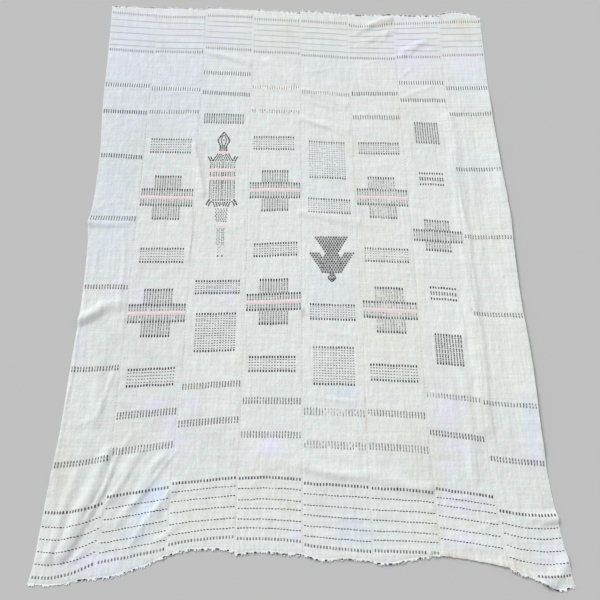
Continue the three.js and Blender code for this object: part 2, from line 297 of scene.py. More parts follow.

# Soft stains, bleached places and painted shade: x, y, reach across, reach along, colour,
# strength. The rows whose colour is shade are broad painted shade, not stains.
STAINS_AND_SHADE = (
    (-480, 700, 90, 240, "blue", 0.75), (-470, 330, 70, 150, "blue", 0.65),
    (-480, 150, 60, 90, "blue", 0.6), (-420, 60, 30, 50, "lilac", 0.45),
    (-374, 4, 18, 30, "lilac", 0.55), (-430, 520, 60, 60, "lilac", 0.3),
    (-300, 540, 60, 90, "lilac", 0.45), (-340, 620, 60, 70, "lilac", 0.35),
    (-505, -115, 14, 40, "lilac", 0.7), (-318, -240, 22, 18, "lilac", 1.0),
    (-240, -245, 20, 20, "lilac", 0.75), (-290, -285, 24, 22, "lilac", 0.8),
    (-265, -325, 26, 30, "lilac", 0.7), (-310, -440, 28, 30, "blue", 0.9),
    (-335, -510, 26, 26, "blue", 0.7), (-400, -560, 60, 26, "lilac", 0.7),
    (-330, -575, 60, 18, "blue", 0.6), (-62, -330, 22, 20, "lilac", 1.0),
    (-66, -345, 30, 18, "lilac", 0.7), (96, -218, 26, 20, "blue", 0.8),
    (105, -500, 36, 30, "blue", 0.75), (-10, -506, 16, 20, "lilac", 0.5),
    (150, -530, 30, 14, "blue", 0.4), (320, -265, 24, 36, "lilac", 1.0),
    (350, -250, 16, 22, "lilac", 0.7), (335, -335, 32, 16, "lilac", 0.9),
    (310, -378, 14, 26, "lilac", 0.9), (320, -445, 40, 26, "lilac", 0.8),
    (330, -520, 50, 18, "lilac", 0.6), (497, -290, 16, 60, "blue", 1.0),
    (500, -352, 14, 20, "lilac", 0.8), (505, -545, 30, 30, "lilac", 0.7),
    (290, 700, 30, 60, "lilac", 0.4), (330, 740, 40, 40, "blue", 0.4),
    (460, 640, 40, 60, "blue", 0.35), (-190, 22, 40, 14, "blue", 0.5),
    (-165, 2, 16, 12, "lilac", 0.8), (60, 330, 60, 90, "blue", 0.25), (60, 30, 60, 60, "blue", 0.3),
    (-420, 210, 24, 30, "blue", 0.5), (450, 360, 60, 50, "blue", 0.3),
    (210, 20, 60, 90, "cream", 0.75), (205, -120, 60, 70, "cream", 0.75),
    (210, -300, 55, 40, "cream", 0.6), (180, 170, 30, 60, "cream", 0.6),
    (255, -380, 20, 70, "sand", 0.5), (285, -400, 16, 60, "sand", 0.55),
    (300, -345, 20, 26, "sand", 0.35), (-505, -385, 14, 50, "sand", 0.8),
    (-495, -420, 16, 30, "sand", 0.5), (-310, -290, 22, 18, "sand", 0.45),
    (-370, -300, 30, 40, "cream", 0.6), (-66, -380, 50, 26, "sand", 0.45),
    (-80, -420, 40, 30, "sand", 0.25), (-22, -466, 14, 20, "sand", 0.5),
    (-130, -145, 12, 26, "sand", 0.25), (140, 430, 12, 30, "sand", 0.35),
    (140, 320, 10, 30, "sand", 0.4), (143, -285, 6, 20, "sand", 0.6), (8, -36, 6, 14, "rust", 0.6),
    (395, -26, 5, 6, "rust", 0.6), (276, -205, 4, 26, "rust", 0.4),
    (-262, 180, 4, 70, "rust", 0.25), (270, 510, 20, 70, "cream", 0.6),
    (470, 480, 36, 40, "cream", 0.65), (455, 160, 30, 50, "cream", 0.4),
    (250, 830, 20, 30, "sand", 0.45), (465, 835, 36, 30, "cream", 0.6),
    (500, 870, 20, 14, "sand", 0.4), (500, -430, 18, 14, "sand", 0.3),
    (520, -240, 10, 30, "sand", 0.5), (380, -250, 20, 40, "cream", 0.4),
    (-100, 620, 60, 30, "cream", 0.25), (-40, 612, 26, 22, "cream", 0.5),
    (300, -552, 60, 8, "sand", 0.6), (400, -566, 60, 8, "sand", 0.55),
    (-195, -470, 40, 30, "cream", 0.3), (460, -120, 60, 90, "cream", 0.35),
    (-440, 740, 200, 230, "lilac", 0.45), (-300, 640, 140, 200, "blue", 0.40),
    (-200, 800, 80, 60, "lilac", 0.3), (300, 770, 70, 120, "lilac", 0.65),
    (465, 700, 70, 60, "lilac", 0.55), (60, 700, 90, 70, "blue", 0.25),
    (462, 815, 24, 44, "sand", 0.40), (246, 838, 36, 22, "sand", 0.5),
    (-34, 826, 14, 34, "sand", 0.45), (402, 858, 10, 16, "sand", 0.7),
    (140, 850, 30, 12, "cream", 0.6), (-300, -428, 20, 22, "sky", 0.9),
    (-325, -466, 22, 24, "sky", 0.8), (-430, -560, 40, 26, "lilac", 0.5),
    (278, -500, 18, 24, "sand", 0.6), (330, -548, 60, 14, "sand", 0.5),
    (430, -565, 34, 18, "sand", 0.6), (-340, -100, 130, 260, "shade", 0.30),
    (-440, -430, 120, 160, "shade", 0.35), (480, -480, 60, 130, "shade", 0.25),
    (-400, 480, 150, 240, "shade", 0.4), (340, -340, 90, 130, "shade", 0.35),
    (-200, -330, 70, 80, "shade", 0.3), (120, -420, 140, 60, "shade", 0.2),
    (480, -300, 60, 120, "shade", 0.2), (-470, -150, 60, 130, "shade", 0.2),
)
STAIN_AND_SHADE_COLOURS = {
    "blue": (0.655, 0.715, 0.810),
    "lilac": (0.760, 0.770, 0.910),
    "cream": (0.765, 0.750, 0.690),
    "sand": (0.690, 0.650, 0.570),
    "rust": (0.520, 0.390, 0.340),
    "sky": (0.690, 0.780, 0.960),
    # The colour of the painted shade rows; it is not a stain.
    "shade": (0.600, 0.640, 0.640),
}

# Short dark marks along the raw ends: strip, x, width, True at the far end.
STUBS = (
    (1, -437, 7, False), (1, -425, 6, False), (2, -375, 5, False), (2, -348, 4, False),
    (2, -330, 4, False), (2, -272, 6, False), (3, -258, 5, False), (3, -240, 5, False),
    (3, -225, 4, False), (3, -196, 5, False), (3, -166, 5, False), (3, -144, 6, False),
    (4, -122, 6, False), (4, -106, 5, False), (4, -90, 5, False), (4, -62, 4, False),
    (4, -46, 5, False), (4, -32, 5, False), (4, -4, 6, False), (5, 22, 5, False), (5, 34, 4, False),
    (5, 52, 5, False), (5, 84, 5, False), (5, 100, 8, False), (6, 157, 8, False),
    (6, 180, 7, False), (6, 206, 5, False), (6, 240, 5, False), (7, 288, 7, False),
    (8, 487, 5, False), (8, 527, 6, False), (6, 172, 6, True), (6, 242, 8, True), (6, 256, 6, True),
    (4, -2, 5, True), (1, -446, 5, True), (1, -528, 4, True), (1, -518, 4, True),
    (3, -264, 5, True), (7, 288, 4, True), (7, 300, 4, True), (7, 344, 3, True), (8, 402, 4, True),
    (8, 410, 4, True), (8, 505, 8, False), (6, 164, 7, True), (6, 250, 9, True), (1, -420, 5, True),
    (7, 312, 5, True), (7, 326, 4, True), (7, 360, 5, True), (7, 378, 4, True), (7, 394, 4, True),
    (3, -250, 4, True), (4, -118, 5, True), (1, -500, 4, True),
)


def a_length(label, description, default):
    """A length in metres that a user may change."""
    return FloatProperty(name=label, description=description, default=default, unit="LENGTH")


def a_colour(label, description, default):
    """A colour that a user may change."""
    return FloatVectorProperty(
        name=label, description=description, default=default, subtype="COLOR")


class ClothSize(PropertyGroup):
    """Sizes of the woven strips and of the grid they are made on."""

    thickness: a_length("Thickness", "Thickness of a woven strip", 0.0014)
    seam_gap: a_length("Seam gap", "Gap between two strips at their seam", 0.00005)
    groove: a_length("Seam groove", "How deep a strip's sides sink into a seam", 0.0005)
    middle_x: a_length("Middle X", "Plan x of the cloth's middle", 0.0005756)
    middle_y: a_length("Middle Y", "Plan y of the cloth's middle", 0.1463889)
    across: IntProperty(name="Cells across", description="Cells across one strip", default=40)
    along: IntProperty(name="Cells along", description="Cells along one strip", default=360)
    cut_width: a_length("Cut width", "Flat width of one strip", 0.137)
    cut_length: a_length("Cut length", "Flat length of one strip", 1.47)


class YarnLook(PropertyGroup):
    """Sizes and colours of the cotton ground, the inlaid wefts and the sewing thread."""

    ground: a_colour("Ground", "Colour of the plain cotton", (0.730, 0.770, 0.755))
    dark: a_colour("Dark yarn", "Colour of the dark inlay", (0.034, 0.042, 0.040))
    pink: a_colour("Pink yarn", "Colour of the pink inlay", (0.900, 0.690, 0.712))
    thread: a_colour("Sewing thread", "Colour of the seams' thread", (0.620, 0.625, 0.590))
    dash_pitch: a_length("Dash pitch", "Distance between two dashes of a row", 0.00633)
    dash_width: a_length("Dash width", "Width of one dash", 0.0040)
    rise: a_length("Rise", "How far an inlaid dash stands above the ground", 0.0005)
    stitch_pitch: a_length("Stitch pitch", "Distance between whip stitches", 0.0075)


class StageLook(PropertyGroup):
    """The floor, the lights and the camera."""

    floor: a_colour("Floor", "Colour of the floor", (0.520, 0.520, 0.520))
    key: FloatProperty(
        name="Key light", description="Strength of the soft light from the far left", default=2.33)
    fill: FloatProperty(
        name="Fill light", description="Strength of the light from all round", default=0.60)
    distance: a_length("Camera distance", "From the camera to the point it looks at", 1.4)
    elevation: FloatProperty(
        name="Camera elevation", description="Angle of the view above the floor",
        default=math.radians(68.8), subtype="ANGLE")
    lens: FloatProperty(
        name="Lens", description="Focal length of the camera on a 36 mm sensor", default=36.0)


def size():
    return bpy.context.scene.cloth_size


def yarn():
    return bpy.context.scene.cloth_yarn


def mm(value):
    """A length property in millimetres, the unit of the plan's tables."""
    return value * 1000.0


def curve_through(places, values, at):
    """A smooth curve through knots: between two knots a cubic, whose slope at each knot is
    that of the straight line through the knots on either side of it."""
    places, values = np.asarray(places, float), np.asarray(values, float)
    last = len(places) - 1
    i = np.clip(np.searchsorted(places, at, side="left") - 1, 0, last - 1)
    before, after = np.maximum(i - 1, 0), np.minimum(i + 2, last)
    span = places[i + 1] - places[i]
    slope_a = (values[i + 1] - values[before]) / (places[i + 1] - places[before]) * span
    slope_b = (values[after] - values[i]) / (places[after] - places[i]) * span
    t = (at - places[i]) / span
    return (values[i] * (2 * t**3 - 3 * t**2 + 1) + slope_a * (t**3 - 2 * t**2 + t)
            + values[i + 1] * (3 * t**2 - 2 * t**3) + slope_b * (t**3 - t**2))


def line_x(number, y):
    """The x of line number 0 (left edge) to 8 (right edge) at level y, on its smooth curve."""
    return curve_through(LINE_TABLE[:, 0], LINE_TABLE[:, number + 1], y)


def end_y(values, share):
    """The y of a strip's end at a share of the way across it, on its smooth curve."""
    return curve_through(np.linspace(0, 1, len(values)), values, share)


def from_crest(x, y, x1, y1, x2, y2):
    """The share of the way along a straight crest at which its nearest point lies, and the
    distance to that point."""
    dx, dy = x2 - x1, y2 - y1
    share = np.clip(((x - x1) * dx + (y - y1) * dy) / (dx * dx + dy * dy), 0, 1)
    return share, np.hypot(x - x1 - share * dx, y - y1 - share * dy)


def raised_cosine(away, foot):
    """From 1 on the crest to 0 at the foot and beyond, as half a cosine wave falls."""
    return 0.5 + 0.5 * np.cos(np.pi * np.minimum(away / foot, 1))


def ridge_height(rows, x, y):
    """Soft ridges: each is a raised cosine of the distance to its crest, from the crest's
    height down to nothing at its foot, and where two meet the higher one counts."""
    height = np.zeros(np.shape(x))
    for x1, y1, x2, y2, foot, high1, high2 in rows:
        share, away = from_crest(x, y, x1, y1, x2, y2)
        crest = high1 + (high2 - high1) * share
        height = np.maximum(height, crest * raised_cosine(away, foot))
    return height


def crease_height(x, y):
    """Fine creases: a raised cosine of the distance to a bent crest, which swells from a
    quarter of its height at one end to all of it in the middle, and back, as a sine does."""
    height = np.zeros(np.shape(x))
    for foot, high, *points in CREASES:
        points = np.array(points, float)
        steps = np.hypot(*(points[1:] - points[:-1]).T)
        begins = np.concatenate([[0], np.cumsum(steps)]) / steps.sum()
        for first, second, begin, end in zip(points[:-1], points[1:], begins[:-1], begins[1:]):
            share, away = from_crest(x, y, *first, *second)
            crest = high * (0.25 + 0.75 * np.sin(np.pi * (begin + (end - begin) * share)))
            height = np.maximum(height, crest * raised_cosine(away, foot))
    return height


def ripple(x, y):
    """Small unevenness: a sum of sine waves, each fading in and out over a much longer wave,
    with a finer crinkle, lifted so that the cloth stays on or above what it lies on."""
    rng = np.random.default_rng(RIPPLE_SEED)
    total = np.zeros(np.shape(x))
    for length, height, lean in RIPPLES:
        angle = math.radians(lean + rng.normal(0, 6))
        phase, slow_phase, slow_angle = rng.uniform(0, 2 * math.pi, 3)
        wave = np.sin(2 * np.pi * (x * math.cos(angle) + y * math.sin(angle)) / length + phase)
        slow = x * math.cos(slow_angle) + y * math.sin(slow_angle)
        fade = 0.5 + 0.5 * np.sin(2 * np.pi * slow / (5.3 * length) + slow_phase)
        total += height * wave * fade
    for length, height in CRINKLE:
        total += height * cloudy(x, y, length, 500 + length)
    return np.maximum(total + RIPPLE_LIFT, 0)


def smooth_step(t):
    """From 0 at t = 0 to 1 at t = 1 along a cubic that is flat at both ends."""
    t = np.clip(t, 0, 1)
    return t * t * (3 - 2 * t)


def from_ends(x, y):
    """Distance from the nearer raw end, taken along the strips; the ends of all the strips
    are joined up into one line at the near side and one at the far side."""
    away = []
    for ends, level in zip((NEAR_ENDS, FAR_ENDS), END_LEVELS):
        xs = [np.linspace(line_x(i, level) + 0.1, line_x(i + 1, level) - 0.1, len(row))
              for i, row in enumerate(ends)]
        away.append(abs(y - np.interp(x, np.concatenate(xs), np.concatenate(ends))))
    return np.minimum(*away)


def under_height(x, y):
    """Height of the cloth's underside above the surface: folds whose crests wander a little,
    fine creases, and ripple that fades out towards the raw ends."""
    length, reach = WOBBLE
    wide = reach * cloudy(x, y, length, 51)
    tall = reach * cloudy(x, y, length, 53)
    folds = ridge_height(FOLDS, x + wide, y + tall) * (1 + 0.12 * cloudy(x, y, 0.4 * length, 55))
    creases = crease_height(x + 0.5 * wide, y + 0.5 * tall)
    return folds + creases + ripple(x, y) * smooth_step(from_ends(x, y) / RIPPLE_FADE)


def top_height(strip, x, y):
    """Height of a strip's upper face: its underside, its thickness, which thins out over the
    last few millimetres at the raw ends, and the rolled hem, less a groove that deepens as a
    bell curve towards the strip's two sides."""
    side = np.minimum(x - line_x(strip - 1, y), line_x(strip, y) - x)
    groove = mm(size().groove) * np.exp(-((side / GROOVE_REACH) ** 2))
    full = smooth_step(from_ends(x, y) / RAW_END_REACH)
    thick = mm(size().thickness) * (RAW_END_SHARE + (1 - RAW_END_SHARE) * full)
    sunk = np.minimum(groove, thick - LEAST_UNDER_GROOVE)
    return under_height(x, y) + thick + ridge_height(HEM, x, y) - sunk


def to_frame(x, y, z):
    """Points of the plan in millimetres, as metres in the part's own frame."""
    return np.stack([x / 1000 - size().middle_x, y / 1000 - size().middle_y, z / 1000], axis=-1)


def weft_y(strip, y, share):
    """The y of a weft at a share of the way across its strip: the weft lies on a parabola
    through its left, middle and right heights, which the tilt table gives for its level."""
    table = np.array(TILTS[strip - 1], float)
    left = np.interp(y, table[:, 0], table[:, 1])
    right = np.interp(y, table[:, 0], table[:, 2])
    s = 2 * share - 1
    return y + (right - left) / 2 * s + (right + left) / 2 * s * s


def share_across(strip, x, y):
    """How far across its strip a point lies, 0 at its left side and 1 at its right."""
    left, right = line_x(strip - 1, y), line_x(strip, y)
    return (x - left) / (right - left)


def worn(x, y):
    """Wear added at a point: a bell curve round each worn place."""
    total = np.zeros(np.shape(x))
    for wx, wy, reach, amount in WORN:
        total += amount * np.exp(-(((x - wx) ** 2 + (y - wy) ** 2) / reach**2))
    return total


def cloudy(x, y, length, seed):
    """Soft clouds between -1 and 1: a sum of six sine waves of seeded direction."""
    rng = np.random.default_rng(seed)
    total = np.zeros(np.shape(x))
    for _ in range(6):
        angle, phase = rng.uniform(0, 2 * math.pi, 2)
        wave = length * rng.uniform(0.6, 1.5)
        total += np.sin(2 * np.pi * (x * math.cos(angle) + y * math.sin(angle)) / wave + phase)
    return total / 3.0


# How much the ground is darkened inside the dark figures, partly as the dark wefts that float
# behind it and partly as painted shade of the raised dark threads, and how many dashes a
# cross's arm takes. The bird's middle line, and how much narrower it gets for each millimetre
# along.
SHADE_BEHIND_BOXES = 0.08
SHADE_BEHIND_BIRD = 0.20
ARM_DASHES = 21
BIRD_X = 75.8
BIRD_SLANT = 0.56


def weft_and_painted_shade(strip, x, y):
    """How much darker the ground is inside the dark figures, partly the dark wefts that float
    behind it and partly painted shade of the raised dark threads: a little inside the boxes of
    close columns, more inside the bird's fan and wings, and nothing elsewhere."""
    share = share_across(strip, x, y)
    level = 2 * y - weft_y(strip, y, share)
    away = abs(share - 0.5) * (line_x(strip, y) - line_x(strip - 1, y))
    shown = np.zeros(np.shape(x))
    boxes = [(row[0], row[1], row[2], row[6]) for row in CROSSES]
    boxes += [(row[0], row[3], row[4], ARM_DASHES) for row in CROSSES]
    boxes += [row[:4] for row in SQUARES]
    for number, top, bottom, count in boxes:
        if number == strip:
            inside = (level < top) & (level > bottom) & (away < count * mm(yarn().dash_pitch) / 2)
            shown = np.maximum(shown, SHADE_BEHIND_BOXES * inside)
    if strip == 5:
        across = abs(x - BIRD_X)
        fan_in, wing_in = (165 - y) * BIRD_SLANT, (121 - y) * BIRD_SLANT
        fan = (y > 117) & (y < 165) & (across < 40 - fan_in)
        wings = (y > 71) & (y < 121) & (across < 51 - wing_in)
        wings &= (y < 104) | (across > 33 - wing_in) | (across < 14 + wing_in)
        shown = np.maximum(shown, SHADE_BEHIND_BIRD * (fan | wings))
    return shown


def cotton_tint(x, y):
    """Colour of the cotton at each point: the plain ground, made a little lighter and darker
    by clouds, with the soft stains and the broad painted shade mixed in, each a bell curve with a
    cloudy edge."""
    colour = np.empty(np.shape(x) + (3,))
    colour[:] = np.array(yarn().ground)
    colour *= (1 + 0.012 * cloudy(x, y, 190, 11) + 0.016 * cloudy(x, y, 42, 12))[..., None]
    patchy = 0.30 * cloudy(x, y, 26, 13) + 0.22 * cloudy(x * 1.5, y, 12, 14)
    for sx, sy, reach_x, reach_y, name, strength in STAINS_AND_SHADE:
        away = ((x - sx) / reach_x) ** 2 + ((y - sy) / reach_y) ** 2
        share = (np.exp(-away) + patchy * np.exp(-away / 2.5) - 0.12) / 0.9
        mix = strength * np.clip(share, 0, 0.85)[..., None]
        colour = colour * (1 - mix) + np.array(STAIN_AND_SHADE_COLOURS[name]) * mix
    return colour


def new_piece(name, points, faces, tint, material):
    """A mesh object at the origin from points in metres, faces as lists of equal length
    stacked in arrays, and a colour for each point kept as the attribute tint. It is shaded
    smooth but for edges sharper than the sharp angle."""
    mesh = bpy.data.meshes.new(name)
    corners = np.concatenate([f.ravel() for f in faces]).astype(np.int32)
    sizes = np.concatenate([np.full(len(f), f.shape[1]) for f in faces])
    starts = np.concatenate([[0], np.cumsum(sizes)[:-1]]).astype(np.int32)
    mesh.vertices.add(len(points))
    mesh.vertices.foreach_set("co", np.asarray(points, np.float32).ravel())
    mesh.loops.add(len(corners))
    mesh.loops.foreach_set("vertex_index", corners)
    mesh.polygons.add(len(sizes))
    mesh.polygons.foreach_set("loop_start", starts)
    mesh.polygons.foreach_set("use_smooth", np.full(len(sizes), True))
    mesh.update(calc_edges=True)
    if mesh.validate():
        raise RuntimeError(f"{name}: the mesh had faults")
    mesh.set_sharp_from_angle(angle=SHARP_ANGLE)
    attribute = mesh.attributes.new("tint", "FLOAT_COLOR", "POINT")
    rgba = np.concatenate([tint, np.ones((len(points), 1))], axis=1)
    attribute.data.foreach_set("color", rgba.astype(np.float32).ravel())
    mesh.materials.append(material)
    piece = bpy.data.objects.new(name, mesh)
    bpy.context.collection.objects.link(piece)
    return piece


def sheet_faces(rows, columns):
    """Faces of a closed sheet whose top points come first and whose underside repeats them:
    two grids of quads and a rim of quads on each side."""
    index = np.arange(rows * columns).reshape(rows, columns)
    under = index + rows * columns
    top = np.stack([index[:-1, :-1], index[:-1, 1:], index[1:, 1:], index[1:, :-1]], -1)
    bottom = np.stack([under[:-1, :-1], under[1:, :-1], under[1:, 1:], under[:-1, 1:]], -1)
    near = np.stack([under[0, :-1], under[0, 1:], index[0, 1:], index[0, :-1]], -1)
    far = np.stack([under[-1, 1:], under[-1, :-1], index[-1, :-1], index[-1, 1:]], -1)
    left = np.stack([under[1:, 0], under[:-1, 0], index[:-1, 0], index[1:, 0]], -1)
    right = np.stack([under[:-1, -1], under[1:, -1], index[1:, -1], index[:-1, -1]], -1)
    return [f.reshape(-1, 4) for f in (top, bottom, near, far, left, right)]


def strip_sheet(strip, material):
    """One woven strip as a closed sheet: shares across, closer together at the sides, and
    even shares along, between the strip's two lines and its two uneven raw ends."""
    across = np.linspace(0, 1, size().across + 1)
    across = across - 0.085 * np.sin(2 * np.pi * across)
    along = np.linspace(0, 1, size().along + 1)[:, None]
    rough = 0.7 * cloudy(across * STRIP_WIDTH, np.full_like(across, strip * 50.0), 7, 21)
    near = end_y(NEAR_ENDS[strip - 1], across) + rough
    far = end_y(FAR_ENDS[strip - 1], across) + rough[::-1]
    y = near + (far - near) * along
    gap = mm(size().seam_gap) / 2
    left, right = line_x(strip - 1, y) + gap, line_x(strip, y) - gap
    x = left + (right - left) * across
    top = top_height(strip, x, y)
    under = np.minimum(under_height(x, y), top - LEAST_SHEET)
    # The ground is darkened inside the dark figures: partly dark wefts behind, partly painted
    # shade.
    tint = (cotton_tint(x, y) * (1 - weft_and_painted_shade(strip, x, y))[..., None]).reshape(-1, 3)
    points = np.concatenate([to_frame(x, y, z).reshape(-1, 3) for z in (top, under)])
    faces = sheet_faces(len(along), len(across))
    return new_piece(f"cloth_strip_{strip}", points, faces, np.concatenate([tint, tint]), material)


# A dash is a small pillow on a grid of points: how far the grid's lines lie from its middle,
# as shares of its half width and half length. Loose threads and stitches take fewer lines.
PILLOW = (-1, -0.62, 0.62, 1)
THREAD = (-1, 0, 1)
PILLOW_SINK = -0.3
THREAD_SINK = -0.12


def dashes_piece(name, dashes, height_at, colours, rise, material, lines=PILLOW, sink=PILLOW_SINK):
    """Many dashes as one mesh. Each row of dashes is x1, y1, x2, y2 and width: a pillow whose
    inner points stand rise above the cloth and whose rim sinks into it, with its corners
    drawn in, closed below by one flat face."""
    x1, y1, x2, y2, width = dashes.T
    half_x, half_y = (x2 - x1) / 2, (y2 - y1) / 2
    length = np.hypot(half_x, half_y)
    side_x, side_y = half_y / length * width / 2, -half_x / length * width / 2
    s, t = np.meshgrid(lines, lines, indexing="ij")
    corner = np.where((abs(s) == 1) & (abs(t) == 1), 0.84, 1.0)
    s, t = (s * corner).ravel(), (t * corner).ravel()
    inside = ((abs(s) < 0.8) & (abs(t) < 0.8)).astype(float)
    x = ((x1 + x2) / 2)[:, None] + np.outer(side_x, s) + np.outer(half_x, t)
    y = ((y1 + y2) / 2)[:, None] + np.outer(side_y, s) + np.outer(half_y, t)
    z = height_at(x, y) + sink + (rise - sink) * inside
    count = len(lines)
    grid = np.arange(count * count).reshape(count, count)
    quads = np.stack([grid[:-1, :-1], grid[1:, :-1], grid[1:, 1:], grid[:-1, 1:]], -1)
    quads = quads.reshape(-1, 4)
    rim = np.concatenate([grid[0, :-1], grid[:-1, -1], grid[-1, :0:-1], grid[:0:-1, 0]])
    starts = (np.arange(len(dashes)) * count * count)[:, None, None]
    faces = [(quads + starts).reshape(-1, 4),
             (rim[None, :] + starts[:, :, 0]).reshape(-1, len(rim))]
    points = to_frame(x, y, z).reshape(-1, 3)
    return new_piece(name, points, faces, np.repeat(colours, count * count, axis=0), material)


def dash_shares(strip, y, count, shift):
    """Shares across the strip of a row's dashes. With no count the row runs from side to
    side and takes as many dashes as its pitch allows; otherwise count dashes lie about the
    strip's middle, moved by shift."""
    width = float(line_x(strip, y) - line_x(strip - 1, y))
    pitch = mm(yarn().dash_pitch)
    if count is None:
        number = int(round((width - 2 * SIDE_MARGIN) / pitch)) + 1
        return np.linspace(SIDE_MARGIN / width, 1 - SIDE_MARGIN / width, number)
    return 0.5 + (shift + (np.arange(count) - (count - 1) / 2) * pitch) / width


# How the dashes' proportions change towards the far end: at each level y, the share of the
# usual width and of the usual height, of the thick rows and of the thin ones.
PROPORTIONS = np.array([
    # y, thick width, thick height, thin width, thin height
    (-450, 0.98, 1.00, 1.25, 0.78),
    (100, 0.94, 1.02, 1.08, 0.90),
    (450, 0.82, 1.08, 1.02, 0.90),
    (600, 0.70, 1.30, 0.70, 1.25),
    (800, 0.57, 1.62, 0.64, 1.40),
], float)


def dash_row(strip, y, tall, count=None, shift=0, wide=1.0, wear=0.0):
    """One row of upright dashes: x1, y1, x2, y2, width and wear of each."""
    share = dash_shares(strip, y, count, shift)
    left, right = line_x(strip - 1, y), line_x(strip, y)
    x = left + (right - left) * share
    middle = weft_y(strip, y, share)
    middle += 0.5 * cloudy(x, 0 * x + 9 * y, 60, 61)
    column = 3 if tall < 4 else 1
    wider, taller = (
        float(np.interp(y, PROPORTIONS[:, 0], PROPORTIONS[:, column + i])) for i in (0, 1))
    width = np.full_like(x, mm(yarn().dash_width) * wide * wider)
    tall = tall * taller
    return np.stack([x, middle - tall / 2, x, middle + tall / 2, width, np.full_like(x, wear)], -1)


def bar_rows(strip, y, tall, count=None, wear=0.0):
    """A bar: two or three close rows of dashes, by its height, and narrower and more worn
    where y is under 300."""
    number = 2 if tall < 14 else 3
    step = tall / number
    levels = y + (np.arange(number) - (number - 1) / 2) * step
    wear += 0.14 if y < 300 else 0.0
    wide = 0.84 if y < 300 else 0.98
    return [dash_row(strip, level, step + 0.3, count, 0, wide, wear) for level in levels]


def column_rows(strip, top, bottom, count, shift=0, wear=0.0):
    """Close rows of narrow dashes between two levels, which read as upright columns."""
    number = max(1, int(round((top - bottom) / 5.0)))
    step = (top - bottom) / number
    levels = bottom + (np.arange(number) + 0.5) * step
    return [dash_row(strip, level, step - 0.4, count, shift, 0.86, wear + 0.36) for level in levels]


def border_rows():
    """The thick and thin rows at both ends of each strip. The row next to the near edge is
    the most worn, and the last strip has a short extra row at its pulled corner."""
    rows = []
    for strip, (thick, thin) in enumerate(zip(THICK_ROWS, THIN_ROWS), start=1):
        bold = [dash_row(strip, y, BORDER_THICK, None, 0, 1.0, 0.0 if y > 0 else 0.14)
                for y in thick]
        bold[-1][:, 5] += 0.22 * (len(bold) > 3)
        fine = [dash_row(strip, y, BORDER_THIN, None, 0, 1.0, 0.05) for y in thin]
        rows.append((strip, bold + fine))
    corner = dash_row(8, -587, 5.4, wear=0.1)
    rows.append((8, [corner[corner[:, 0] > 472]]))
    return rows


def block_rows(strip, top, bottom, count, inner, shift, wear):
    """A block: a thick row at top and bottom and evenly spaced thin rows between them."""
    levels = top + (bottom - top) * (np.arange(inner) + 1) / (inner + 1)
    edges = [dash_row(strip, y, BLOCK_THICK, count, shift, 1.05, 0.2 * wear)
             for y in (top, bottom)]
    return edges + [dash_row(strip, y, BLOCK_THIN, count, shift, 1.0, 0.8 * wear)
                    for y in levels]


def cross_rows(strip, top, bottom, arm_top, arm_bottom, pink, count, wear, moved):
    """A cross: four thick rows, with close columns in its upright, whose lower half may be
    moved by part of a dash, and in its arm, which makes room for the pink weft."""
    edges = ((top, count, 0), (bottom, count, moved), (arm_top, None, 0), (arm_bottom, None, 0))
    rows = [dash_row(strip, y, CROSS_THICK, number, shift, 1.08, 0.2 * wear)
            for y, number, shift in edges]
    rows += column_rows(strip, top - 3, arm_top + 3, count, 0, wear)
    rows += column_rows(strip, arm_bottom - 3, bottom + 3, count, moved, wear)
    if pink is None:
        return rows + column_rows(strip, arm_top - 3, arm_bottom + 3, None, 0, wear)
    rows += column_rows(strip, arm_top - 3, pink + 4.5, None, 0, wear)
    return rows + column_rows(strip, pink - 4.5, arm_bottom + 3, None, 0, wear)


def square_rows(strip, top, bottom, count, shift, wear):
    """A square: close columns between two thick rows."""
    edges = [dash_row(strip, y, SQUARE_THICK, count, shift, 1.0, 0.2 * wear)
             for y in (top, bottom)]
    return edges + column_rows(strip, top - 3, bottom + 3, count, shift, wear - 0.2)


def triple_rows(strip, top, middle, bottom, count):
    """Two thick rows with a bar between them."""
    edges = [dash_row(strip, y, BLOCK_THICK, count) for y in (top, bottom)]
    return edges + bar_rows(strip, middle, 11, count, 0.05)


def mirrored(lines):
    """Lines and their mirror images about x = 0."""
    lines = np.array(lines, float)
    other = lines.copy()
    other[:, [0, 2]] *= -1
    return np.concatenate([lines, other])


def chain(xs, ys, width, wear):
    """Dashes end to end along a bent line, none of them long."""
    along = np.concatenate([[0], np.cumsum(np.hypot(np.diff(xs), np.diff(ys)))])
    corners = [np.linspace(a, b, int((b - a) // 6) + 2)[:-1] for a, b in zip(along[:-1], along[1:])]
    at = np.concatenate(corners + [along[-1:]])
    px, py = np.interp(at, along, xs), np.interp(at, along, ys)
    same = np.ones(len(at) - 1)
    return np.stack([px[:-1], py[:-1], px[1:], py[1:], width * same, wear * same], -1)


def stack(xs, top, bottom, pitch, width, wear, gap=0.25):
    """Upright columns at the places xs, each a chain of dashes between two levels, with a
    gap at both ends of each dash."""
    number = max(1, int(round((top - bottom) / pitch)))
    step = (top - bottom) / number
    low = np.repeat(bottom + np.arange(number) * step, len(xs))
    across = np.tile(np.array(xs, float), number)
    one = np.ones(len(low))
    return np.stack([across, low + gap, across, low + step - gap, width * one, wear * one], -1)


def placed(lines, middle):
    """Lines drawn about x = 0, moved on to the figure's middle line, which is a table of y
    and x from the near end up."""
    lines = np.concatenate(lines)
    levels, xs = np.array(middle, float).T
    for column in (0, 2):
        lines[:, column] += np.interp(lines[:, column + 1], levels, xs)
    return lines


